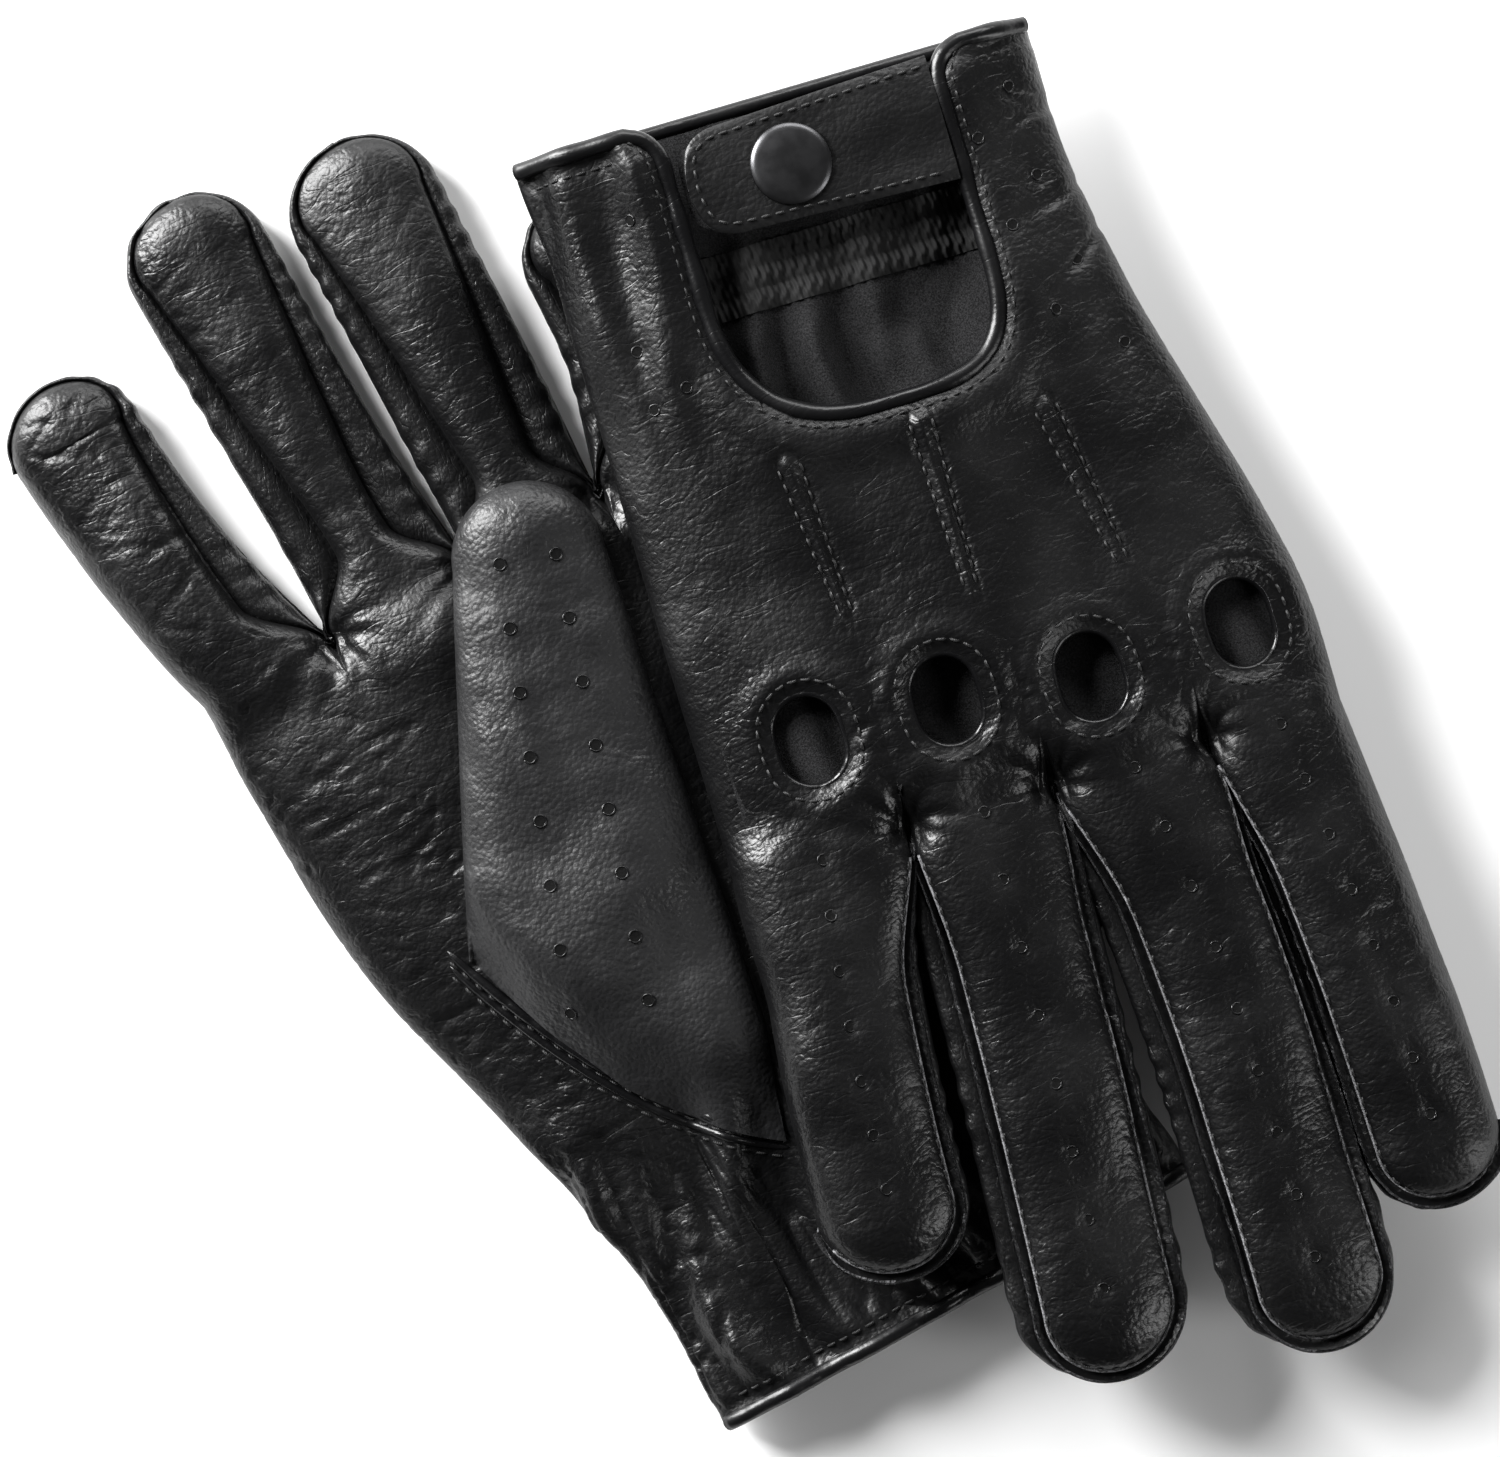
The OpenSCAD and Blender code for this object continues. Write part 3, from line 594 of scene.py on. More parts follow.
def stall_skin(side, finger):
    """Grid of points from the seam edge to the middle line."""
    edge, spine, share = horseshoe(side, finger)
    y = edge[:, 1]
    away = edge - spine
    half = np.linalg.norm(away, axis=1, keepdims=True)
    out = away / half
    from_crotch = np.minimum(y - crotch[side], 40)
    opened = ease(from_crotch / 26)
    round_tip = np.sin(np.pi * share)
    insets = [seam_inset(side, finger, s) for s in (-1, 1)]
    if side == "left":
        run = np.clip((y - crotch[side]) / (tip_at[side, finger] - crotch[side]), 0, 1)
        opened = ease(from_crotch / 12) * (1 - run) ** 0.65
    inset = mix(insets[0], insets[1], ease(share)) * opened
    inset = mix(inset, 0.35 if side == "left" else 1.0, round_tip)
    heights = [leather if outer_edge(finger, s) else seam_height for s in (-1, 1)]
    seam_z = mix(heights[0], heights[1], ease(share))
    seam_z = mix(seam_z, seam_height - 1.5, round_tip * 0.8)
    seamed = mix(*[0.0 if outer_edge(finger, s) else 1.0 for s in (-1, 1)], share)
    seamed = np.maximum(seamed, ease(round_tip * 1.5)) * ease(from_crotch / 8)
    top = stall_top(finger, spine[:, 1])
    inside = edge - out * inset[:, None]
    columns = []
    reach, rise = (0.35, -1.0) if side == "left" else (1.5, 0.9)
    for k in range(flange_steps, 0, -1):
        far = k / flange_steps
        xy = inside + out * (reach * far * seamed)[:, None]
        columns.append(np.column_stack([xy, seam_z + rise * far**1.5 * seamed]))
    for u in lean:
        xy = spine + (inside - spine) * u
        columns.append(np.column_stack([xy, seam_z + (top - seam_z) * arch(u)]))
    return np.stack(columns, 1), out, seam_z, inside, seamed


def hand_skin(side):
    y = np.append(np.arange(0, crotch[side], row_gap), crotch[side])
    fraction, u_all, lobes = [], [], []
    for f, finger in enumerate(FINGERS):
        u = np.concatenate([-lean, lean[::-1][1:]])
        fraction.append(mix(part_lines[f], part_lines[f + 1], (u + 1) / 2))
        for k in u:
            sign = -1 if k < 0 else 1
            low = leather if outer_edge(finger, sign) else seam_height
            lobes.append(low + (stall_top(finger, crotch[side]) - low) * arch(k))
    fraction = np.concatenate(fraction)
    lobes = np.array(lobes)
    left, right = index_edge(y)[:, None], pinky_edge(y)[:, None]
    x = mix(left, right, fraction[None])
    edge = (leather + lift(side, y))[:, None]
    dome = edge + (hand_height - edge) * arch(2 * fraction - 1)[None]
    z = mix(dome, lobes[None], ease((y - crotch[side] + 11) / 11)[:, None] ** 1.6)
    return np.stack([x, np.broadcast_to(y[:, None], x.shape), z], -1)


hand_grid = {side: hand_skin(side) for side in SIDES}
print("hand grid", hand_grid["right"].shape, "stall grid", stall_skin("right", "ring")[0].shape)

# %% [markdown]
# Next come the marks of wear and of making, as one height for each glove: hollows, creases across the
# fingers and round the crotches, the three stitched points that stand up on the back, and the gathers that
# the wrist elastic pulls into the palm.

# %% Mark the stitched points and the holes
point_lines = (((14.6, 59.0), (12.4, 85.0)), ((-8.3, 58.0), (-8.5, 88.0)), ((-29.0, 61.5), (-33.9, 89.5)))


def from_line(x, y, start, end):
    """Distance to a line, and how far along it, from 0 to 1."""
    start, end = np.array(start), np.array(end)
    d = end - start
    t = ((x - start[0]) * d[0] + (y - start[1]) * d[1]) / (d @ d)
    c = np.clip(t, 0, 1)
    return np.hypot(x - start[0] - c * d[0], y - start[1] - c * d[1]), t


finger_holes = {}
for finger, count in zip(FINGERS, (8, 9, 8, 7)):
    y = np.linspace(crotch["right"] + 1, tip_at["right", finger] - 15, count)
    finger_holes[finger] = np.column_stack([stall_centre("right", finger, y), y])
y = np.linspace(9, 55, 4)
cuff_holes = np.concatenate([np.column_stack([index_edge(y) + 6.5, y]),
                             np.column_stack([index_edge(y[:3] + 7) + 14, y[:3] + 7]),
                             np.array([(28, 13), (33, 34), (33, 44), (27, 42)], float)])


def crotch_points(side):
    return [(line_across(k), crotch[side]) for k in (1, 2, 3)]


print("perforations", sum(len(h) for h in finger_holes.values()) + len(cuff_holes))

# %% [markdown]
# The marks are added up as one height for each point of the skin. Each could be a sculpted stroke or a
# layer of displacement, but a sum is easy to read and to change: every line below is one kind of mark.
# Those that only one glove has are kept in their own function.


# %% Write down the folds
def right_marks(h, x, y):
    """Dimples, knuckle rims, stitched points, the keyhole's rim and the folds beside it."""
    for px, py in np.concatenate([cuff_holes, *finger_holes.values()]):
        h -= 0.32 * near(x, y, px, py, 1.7, 1.7) + 0.16 * near(x, y, px, py, 1.2, 5)
    d = knuckle_distance(x, y)
    h += 0.5 * np.exp(-(((d - 3.5) / 2.2) ** 2)) - 0.7 * np.exp(-((np.maximum(d, 0) / 1.8) ** 2))
    between = near(x, y, -36, 105, 7, 5) + near(x, y, -12, 105, 6, 5) + near(x, y, 12, 104, 6, 5)
    h += 0.5 * crease(x, y, 30, 4.5, 30, 0.25) * between
    for start, end in point_lines:
        off, t = from_line(x, y, start, end)
        on = ease((t + 0.25) / 0.2) * ease((1.15 - t) / 0.3)
        half = mix(1.7, 1.0, np.clip(t, 0, 1))
        ridge = 0.55 * np.exp(-((off / (half * 0.7)) ** 2))
        ridge -= 0.4 * np.exp(-(((off - half - 0.2) / 0.6) ** 2))
        h += on * ridge
        h += 0.6 * waves(x, y, 5, 30, 31) * np.exp(-(((t + 0.3) * 8) ** 2) - (off / 5) ** 2)
    k = keyhole_distance(x, y)
    h += 0.9 * np.exp(-(((k - 5) / 3.5) ** 2)) - 0.9 * np.exp(-((np.maximum(k, 0) / 2) ** 2))
    side_folds = ease((x - 18) / 12) * ease((62 - y) / 25)
    h += 0.8 * waves(x, y, 9, 60, 33) * side_folds
    h += 0.7 * crease(x, y, 60, 15, 34, 0.2) * ease((-30 - x) / 15) * ease((60 - y) / 20)
    return h


def left_marks(h, x, y):
    """Gathers at the wrist elastic, and soft folds across the palm."""
    gathers = ease((62 - y) / 26) * ease((y + 4) / 14)
    h += 1.5 * waves(x + 4 * np.sin(y / 11), y, 9.5, 90, 40) * gathers
    h += 0.7 * crease(x, y, 6, 50, 41, 0.3) * gathers
    h += 0.45 * crease(x + y * 0.4, y, 22, 8, 42, 0.12) * ease((-20 - x) / 20)
    h += 0.6 * waves(x, y, 34, 44, 43) * ease((y - 60) / 20) * ease((150 - y) / 20)
    return h


def folds(side, x, y):
    h = 0.45 * waves(x, y, 38, 46, 3 if side == "right" else 4)
    h += 0.07 * waves(x, y, 12, 17, 5)
    h += 0.22 * crease(x, y, 26, 12, 6, 0.07) * ease(0.5 + waves(x, y, 50, 50, 7) / 2)
    h += 0.12 * crease(x, y, 12, 7, 8, 0.08) * ease(0.4 + waves(x, y, 40, 40, 9) / 2)
    on_fingers = ease((y - crotch[side] - 6) / 15)
    h += 0.15 * crease(x, y, 22, 6.5, 10, 0.10) * on_fingers
    h += 0.16 * waves(x, y, 60, 20, 11) * on_fingers
    for k, (cx, cy) in enumerate(crotch_points(side)):
        dx, dy = x - cx, y - cy
        r = np.hypot(dx, dy) + 1e-6
        rays = np.cos(np.arctan2(dx, -dy) * 9 + 1.3 * k + waves(x, y, 14, 14, 20 + k))
        h += rays * 0.5 * np.exp(-r / 9) * ease(r / 3) * ease((6 - dy) / 8)
        h -= 2.2 * np.exp(-((r / 3.2) ** 2))
    h = right_marks(h, x, y) if side == "right" else left_marks(h, x, y)
    return h - 0.5 * np.exp(-(((y - 2) / 1.4) ** 2))


print("deepest mark in mm", round(float(folds("right", *np.array([[0.0], [122.0]]))[0]), 2))

# %% [markdown]
# On a real glove the hand and the fingers are one cut of leather. Separate grids for them would each bend
# the folds in their own way and show a line where they meet. The grids are welded first and pressed
# together, so that every fold runs on from the hand into the finger.

# %% Join the skins and press the folds in
top_points, top_quads, top_owner, top_normals, surface = {}, {}, {}, {}, {}
stall_facts = {}
for side in SIDES:
    grids = {"hand": hand_grid[side]}
    for finger in FINGERS:
        skin, *facts = stall_skin(side, finger)
        grids[finger] = skin
        stall_facts[side, finger] = facts
    points, quads, owner, size = [], [], [], 0
    for name, grid in grids.items():
        rows, columns = grid.shape[:2]
        q = grid_quads(rows, columns, size)
        points.append(grid.reshape(-1, 3))
        quads.append(q)
        owner += [name] * len(q)
        size += rows * columns
    points, quads = weld(np.concatenate(points), np.concatenate(quads))
    normal = normals_of(points, quads)
    keep = np.clip(normal[:, 2], 0, 1) ** 0.5
    points = points + normal * (folds(side, points[:, 0], points[:, 1]) * keep)[:, None]
    normal = normals_of(points, quads)
    top_points[side], top_quads[side] = points, quads
    top_owner[side], top_normals[side] = np.array(owner), normal
    surface[side] = BVHTree.FromPolygons(points.tolist(), [list(dict.fromkeys(q)) for q in quads.tolist()])
print("top skins", {s: (len(top_points[s]), len(top_quads[s])) for s in SIDES})


def on_skin(side, xy, sink=0.0):
    """The point of the top skin above each (x, y), and the way out of it."""
    spots, ways = [], []
    for x, y in xy:
        hit, way, _, _ = surface[side].ray_cast(Vector((x, y, 60)), Vector((0, 0, -1)))
        if hit is None:
            hit, way, _, _ = surface[side].find_nearest(Vector((x, y, 8)))
        if way.z < 0:
            way = -way
        spots.append(np.array(hit) - np.array(way) * sink)
        ways.append(np.array(way))
    return np.array(spots), np.array(ways)


print("height over the right knuckles", np.round(on_skin("right", [(-36, 105)])[0][0], 1))

# %% [markdown]
# The skin becomes pieces: the hand, and one skin for each finger, which shares the hand's edge points and
# shading so that no seam shows where they meet. Each finger piece rides the hand when its finger has no body
# of its own, and is otherwise left unattached.

# %% Cut out the top skins
skin_materials = [hand_leather, flesh_side, cut_edge]
hand_body = {side: f"{side}_hand" for side in SIDES}


def finger_body(side, finger):
    name = f"{side}_{finger}"
    return name if name in frame["bodies"] else hand_body[side]


def bend(piece, side, finger):
    """Attach a finger piece to the hand when its finger has no body of its own; otherwise only bake its
    transform.
    """
    body = finger_body(side, finger)
    if body == hand_body[side]:
        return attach(piece, body)
    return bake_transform(piece)


for side in SIDES:
    points, quads, owner = top_points[side], top_quads[side], top_owner[side]
    hand_quads = quads[owner == "hand"]
    hand_points = points.copy()
    if side == "right":
        hand_points, hand_quads = snap_to_edge(hand_points, hand_quads, knuckle_distance)
        hand_points, hand_quads = snap_to_edge(hand_points, hand_quads, keyhole_distance)
    name = f"{side}_{TOP[side]}_skin"
    piece = thick_piece(name, side, hand_points, hand_quads, skin_thickness, skin_materials,
                        top_normals[side])
    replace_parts(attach(piece, hand_body[side]), f"{side}_{TOP[side]}_panel")
    for finger in FINGERS:
        name = f"{side}_{finger}_{TOP[side]}_skin"
        piece = thick_piece(name, side, points, quads[owner == finger], skin_thickness, skin_materials,
                            top_normals[side])
        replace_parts(bend(piece, side, finger), f"{side}_{finger}_{TOP[side]}")

# %% [markdown]
# A fourchette is a narrow strip sewn between the front and the back of a finger. It is pushed out by the
# air in the glove and puckers where it is sewn. Here it is a soft curve from the upper seam to the lower
# one.


# %% Sew in the fourchettes
def bezier(t, *p):
    t = t[:, None]
    return (1 - t) ** 3 * p[0] + 3 * (1 - t) ** 2 * t * p[1] + 3 * (1 - t) * t**2 * p[2] + t**3 * p[3]


def fourchette_strip(side, finger, sign):
    edge, spine, share = horseshoe(side, finger)
    out, seam_z, inside, seamed = stall_facts[side, finger]
    # the two strips of a finger meet at its tip, and a single one runs on round it
    keep = (share < 0.53) if sign < 0 else (share >= 0.5)
    if outer_edge(finger, -sign):
        keep = (share < 0.99) if sign < 0 else (share > 0.01)
    edge, out, seam_z, inside = edge[keep], out[keep], seam_z[keep], inside[keep]
    if sign > 0:
        edge, out, seam_z, inside = edge[::-1], out[::-1], seam_z[::-1], inside[::-1]
    run = np.concatenate([[0], np.cumsum(np.linalg.norm(np.diff(edge, axis=0), axis=1))])
    free = ease(run / 18)
    out_by, end_run = puff(side, finger, sign), run[-1]
    rows = []
    t = np.linspace(0, 1, 15)
    rng = np.random.default_rng(abs(hash_of(side, finger, sign)))
    pace = rng.uniform(4.5, 6.5)
    for k in range(len(edge)):
        w = np.linalg.norm(edge[k] - inside[k])
        if side == "left":
            p = [(-w - 0.2, seam_z[k] - 0.7), (-w * 0.35, seam_z[k] + 2.6),
                 (1.6 * free[k], seam_z[k] - 1), (-0.9, 0.6)]
        else:
            stand = out_by * free[k] * ease((end_run - run[k]) / 25)
            p = [(-w + 1.1 * free[k], seam_z[k] - 0.4), (stand * 0.9, seam_z[k] + 0.2 + stand * 0.15),
                 (stand * 1.3, seam_z[k] - 3), (-0.9, 0.6)]
        curve = bezier(t, *[np.array(q) for q in p])
        pucker = 0.16 * np.sin(run[k] / pace * 2 * np.pi + 3 * t + 2 * np.sin(run[k] / 9)) * np.sin(np.pi * t)
        pucker = pucker * (1 + np.sin(run[k] / 5.7 + pace)) / 1.4
        pucker += 0.12 * np.sin(run[k] / 0.9 + 5 * np.sin(run[k] / 13)) * np.exp(-5 * t)
        reach = curve[:, 0] + pucker * free[k]
        xy = edge[k] + out[k] * reach[:, None]
        rows.append(np.column_stack([xy, np.maximum(curve[:, 1] + pucker * 0.5, 0.5)]))
    return np.stack(rows)


def hash_of(side, finger, sign):
    return SIDES.index(side) * 100 + FINGERS.index(finger) * 10 + (sign + 1)


def fourchette_node(side, finger, sign):
    f = FINGERS.index(finger)
    if f in (0, 3):
        return f"{side}_{finger}_fourchette"
    return f"{side}_{finger}_{FINGERS[f + sign]}_side_fourchette"


for side in SIDES:
    for finger in FINGERS:
        for sign in (-1, 1):
            if outer_edge(finger, sign):
                continue
            strip = fourchette_strip(side, finger, sign)
            rows, columns = strip.shape[:2]
            quads = grid_quads(rows, columns)
            if sign < 0:
                quads = quads[:, ::-1]
            node = fourchette_node(side, finger, sign)
            piece = thick_piece(f"{node}_strip", side, strip.reshape(-1, 3), quads, 0.6,
                                [gusset_leather, flesh_side, cut_edge])
            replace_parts(bend(piece, side, finger), node)
            if finger == "index":
                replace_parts(piece, f"{side}_fourchette_roots")

# %% [markdown]
# The skin underneath lies flat on the table, or on the other glove. The left one is the back of the hand,
# so it has the keyhole and the knuckle holes, and its cuff is propped up by the snap.


# %% Lay the bottom skins
def sheet_under(side, grid, cut):
    rows, columns = grid.shape[:2]
    points, quads = grid.reshape(-1, 3).copy(), grid_quads(rows, columns)
    if cut:
        points, quads = snap_to_edge(points, quads, keyhole_distance)
        points, quads = snap_to_edge(points, quads, knuckle_distance)
    return points, quads[:, ::-1]


for side in SIDES:
    y = np.linspace(0, 147, 100)
    fraction = np.linspace(0, 1, 90)
    x = mix(index_edge(y)[:, None] + 0.3, pinky_edge(y)[:, None] - 0.3, fraction[None])
    z = np.broadcast_to((lift(side, y) + 0.05)[:, None], x.shape)
    grid = np.stack([x, np.broadcast_to(y[:, None], x.shape), z], -1)
    points, quads = sheet_under(side, grid, side == "left")
    piece = thick_piece(f"{side}_{BOTTOM[side]}_skin", side, points, quads, skin_thickness, skin_materials)
    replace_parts(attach(piece, hand_body[side]), f"{side}_{BOTTOM[side]}_panel")
    for finger in FINGERS:
        edge, spine, share = horseshoe(side, finger)
        start = 146.5
        keep = edge[:, 1] >= start
        edge, spine = edge[keep], spine[keep]
        columns = [np.column_stack([spine + (edge - spine) * u, np.full(len(edge), 0.05 + 0.7 * u**8)])
                   for u in lean[::2] * 0.985]
        grid = np.stack(columns, 1)
        grid[..., 2] += 0.18 * (1 + waves(grid[..., 0], grid[..., 1], 13, 9, 95) / 2)
        points, quads = weld(grid.reshape(-1, 3), grid_quads(*grid.shape[:2])[:, ::-1])
        piece = thick_piece(f"{side}_{finger}_{BOTTOM[side]}_skin", side, points, quads, 0.8, skin_materials)
        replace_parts(bend(piece, side, finger), f"{side}_{finger}_{BOTTOM[side]}")

# %% [markdown]
# Through the keyhole and the knuckle holes shows the flesh side of the palm, ruckled by the wrist elastic.
# The inside of the palm skin alone would be flat there, so a second sheet of suede lies on it in long
# folds.

# %% Show the flesh side of the palm
def flesh_height(x, y):
    ruckles = 2.3 * waves(x + 3 * np.sin(y / 9), y, 10, 60, 50) + 0.25 * waves(x, y, 6, 12, 51)
    pulled = ease((y - 30) / 10) * ease((70 - y) / 14)
    return np.maximum(3.4 + ruckles * (0.35 + 0.65 * pulled) + 2.2 * ease((y - 85) / 10), 1.3)


y = np.linspace(1, 118, 150)
fraction = np.linspace(0.04, 0.96, 120)
x = mix(index_edge(y)[:, None], pinky_edge(y)[:, None], fraction[None])
yy = np.broadcast_to(y[:, None], x.shape)
z = flesh_height(x, yy)
grid = np.stack([x, yy, z], -1)
piece = thick_piece("right_palm_flesh_side", "right", grid.reshape(-1, 3), grid_quads(*grid.shape[:2]), 0.5,
                    [flesh_side, flesh_side, flesh_side])
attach(piece, "right_hand")
print("flesh side heights in mm", round(float(z.min()), 1), round(float(z.max()), 1))

# %% [markdown]
# The wrist elastic is stretched while it is sewn on, and then pulls the leather into rows of tight puckers.
# A cloth simulation could gather it. Two sums of sines give the same rows and puckers and never vary.

# %% Shirr the wrist elastic
for side in SIDES:
    x, y = np.meshgrid(np.linspace(-37, 37, 260), np.linspace(22, 33, 34), indexing="xy")
    shirring = 0.5 * np.abs(np.sin((y - 22) / 11 * 3 * np.pi))
    shirring += 0.22 * np.cos(x * 2.9 + np.sin(y * 1.7) * 1.4)
    if side == "right":
        z = flesh_height(x, y) + 0.4 + shirring
    else:
        skin_z = on_skin("left", np.column_stack([x.ravel(), y.ravel()]))[0][:, 2].reshape(x.shape)
        z = skin_z - 2.6 + shirring
    points = np.stack([x, y, z], -1).reshape(-1, 3)
    piece = thick_piece(f"{side}_shirred_elastic", side, points, grid_quads(*x.shape), 0.5,
                        [elastic_cloth, elastic_cloth, elastic_cloth])
    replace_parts(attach(piece, hand_body[side]), f"{side}_wrist_elastic")
print("elastic shirred")

# %% [markdown]
# Each knuckle hole is faced with a thin ring of leather whose edge is turned in, and a row of stitches
# holds it. A plain tube would look like a grommet. A swept section that rolls over the edge reads as turned
# leather.


# %% Face the knuckle holes
def hole_outline(k, grow, count=72):
    """A ring round a knuckle hole."""
    turn = np.linspace(0, 2 * np.pi, count, endpoint=False)
    r = hole_half + grow
    return np.column_stack([k + r * np.cos(turn),
                            knuckle_row[k] + r * np.sin(turn) + hole_straight * np.tanh(4 * np.sin(turn))])


def closed(path):
    return np.concatenate([path, path[:1]])


facings = []
for k in knuckle_across:
    path, _ = on_skin("right", hole_outline(k, 0.4))
    rings = []
    for grow, drop in ((0.5, 0.25), (0.25, 0.05), (-0.1, 0.05), (-0.45, 0.35), (-0.6, 0.9), (-0.5, 1.8),
                       (1.5, 2.2)):
        ring = hole_outline(k, grow)
        rings.append(np.column_stack([ring, path[:, 2] - drop]))
    grid = np.stack(rings + [rings[0]], 0)
    grid = np.concatenate([grid, grid[:, :1]], 1)
    p, q = weld(grid.reshape(-1, 3), grid_quads(*grid.shape[:2]))
    facings.append((p, q.tolist()))
p, f = gathered(facings)
piece = new_piece("right_knuckle_hole_facings", "right", p, f, [piping_leather])
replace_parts(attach(piece, "right_hand"), "right_knuckle_facings")
rings = []
for k in knuckle_across:
    ring = closed(hole_outline(k, 0.2))
    rings.append(tube(np.column_stack([ring, np.full(len(ring), 0.75)]), 0.6, sides=10))
p, f = gathered(rings)
piece = new_piece("left_knuckle_hole_facings", "left", p, f, [piping_leather])
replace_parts(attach(piece, "left_hand"), "left_knuckle_facings")
print("facings", len(facings))

# %% [markdown]
# A stitch is a short curved bit of thread that dives into the leather at both ends. Thread could be a
# texture, but a low light shows that up at once. One helper lays a row of real loops on the skin along a
# path, and each row rides with the piece that it is sewn into.


# %% Sew rows of stitches
def stitch_row(spots, ways, length=2.0, gap=0.8, radius=0.26):
    """Thread along a path on the skin: spots and the ways out of it."""
    run = np.concatenate([[0], np.cumsum(np.linalg.norm(np.diff(spots, axis=0), axis=1))])
    parts = []
    for start in np.arange(gap / 2, run[-1] - length, length + gap):
        at = np.linspace(start, start + length, 6)
        path = np.stack([np.interp(at, run, spots[:, k]) for k in range(3)], 1)
        way = np.stack([np.interp(at, run, ways[:, k]) for k in range(3)], 1)
        bow = np.sin(np.linspace(0, np.pi, 6)) * 0.5 - 0.3
        parts.append(tube(path + way * bow[:, None], radius, sides=6))
    return parts


def sew(name, side, parts, body):
    points, faces = gathered(parts)
    piece = new_piece(name, side, points, faces, [thread])
    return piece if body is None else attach(piece, body)


parts = []
for k in knuckle_across:
    parts += stitch_row(*on_skin("right", closed(hole_outline(k, 2.3))), length=1.6, gap=0.7)
sew("right_knuckle_ring_stitches", "right", parts, "right_hand")
parts = []
for start, end in point_lines:
    start, end = np.array(start), np.array(end)
    across = np.array([end[1] - start[1], start[0] - end[0]]) / np.linalg.norm(end - start)
    for sign in (-1, 1):
        path = np.stack([start + across * sign * 1.9, end + across * sign * 0.95])
        parts += stitch_row(*on_skin("right", spaced(path, 0.7)), length=1.7, gap=0.7)
sew("right_back_point_stitches", "right", parts, "right_hand")
for finger in FINGERS:
    out, _, inside, seamed = stall_facts["right", finger]
    keep = seamed > 0.5
    path = (inside - out * 0.35)[keep]
    parts = stitch_row(*on_skin("right", spaced(path, 0.7)), length=1.8, gap=0.8)
    bend(sew(f"right_{finger}_seam_stitches", "right", parts, None), "right", finger)
    spots, ways = on_skin("right", spaced((inside - out * 0.1)[keep], 0.7))
    points, faces = tube(spots + ways * 0.05, 0.26, sides=8)
    piece = new_piece(f"right_{finger}_seam_edge", "right", points, faces, [cut_edge])
    bend(piece, "right", finger)
print("stitch rows sewn")

# %% [markdown]
# The right finger backs, the left thumb and the right cuff are punched with small round holes that let the
# hand breathe. Cutting each one out of the skin would need a very fine mesh. A dark spot in a small dimple
# with a thin raised rim looks the same from any side.


# %% Punch the perforations
def punched(side, xy, radius=0.85):
    """Dark spots and rims laid on the skin."""
    spots, ways = on_skin(side, xy)
    dark, rims = [], []
    turn = np.linspace(0, 2 * np.pi, 17)[:-1]
    for spot, way in zip(spots, ways):
        a = np.cross(way, [0, 1, 0.01])
        a /= np.linalg.norm(a)
        b = np.cross(way, a)
        ring = a * np.cos(turn)[:, None] + b * np.sin(turn)[:, None]
        points = np.concatenate([spot + ring * radius + way * 0.16, spot + ring * radius * 0.5 + way * 0.13,
                                 [spot + way * 0.12]])
        faces = [[k, (k + 1) % 16, 16 + (k + 1) % 16, 16 + k] for k in range(16)]
        faces += [[16 + k, 16 + (k + 1) % 16, 32] for k in range(16)]
        dark.append((points, faces))
        rims.append(tube(closed(spot + ring * (radius + 0.08) + way * 0.08), 0.17, sides=6, up=way))
    return dark, rims


def punch(name, side, xy, ride, radius=0.85):
    dark, rims = punched(side, xy, radius)
    p, f = gathered(dark)
    size = len(f)
    q, g = gathered(rims)
    points, faces = np.concatenate([p, q]), f + [[i + len(p) for i in face] for face in g]
    piece = new_piece(name, side, points, faces, [hole_dark, piping_leather], [0] * size + [1] * len(g))
    ride(piece)
    return piece


for finger in FINGERS:
    punch(f"right_{finger}_perforations", "right", finger_holes[finger],
          lambda p, f=finger: bend(p, "right", f))
punch("right_cuff_perforations", "right", cuff_holes, lambda p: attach(p, "right_hand"))
print("perforations punched")

# %% [markdown]
# The thumb is one folded piece sewn into a hole in the palm. On the left glove it lies over the palm, and
# its skirt comes down to the palm round its base. On the right glove it is folded underneath. It could be
# modelled as a bent tube and pressed flat. Lofting rows from its edge to its middle line gives the pressed
# shape at once.

# %% Shape the thumbs
thumb_base = np.array([-30, 63.5])
thumb_turn = {"left": np.radians(-18.7), "right": np.radians(3)}
thumb_length, thumb_round = 96.0, 13.0
thumb_rise = 7.0
base_half, base_slant = 25.0, 20.0
seam_half = 25.4


def thumb_place(side, xy):
    c, s = np.cos(thumb_turn[side]), np.sin(thumb_turn[side])
    return xy @ np.array([[c, s], [-s, c]]) + thumb_base


thumb_bow = 6.5


def bowed(xy):
    """The base seam curves out towards the cuff between its two ends."""
    xy = np.array(xy, float)
    fade = np.clip(1 - (xy[:, 1] + base_slant / seam_half * xy[:, 0]) / 40, 0, 1) ** 2
    xy[:, 1] -= thumb_bow * np.clip(1 - (xy[:, 0] / seam_half) ** 2, 0, 1) * fade
    return xy


def thumb_half(y):
    return mix(base_half, 12.5, np.clip(y / 86, 0, 1))


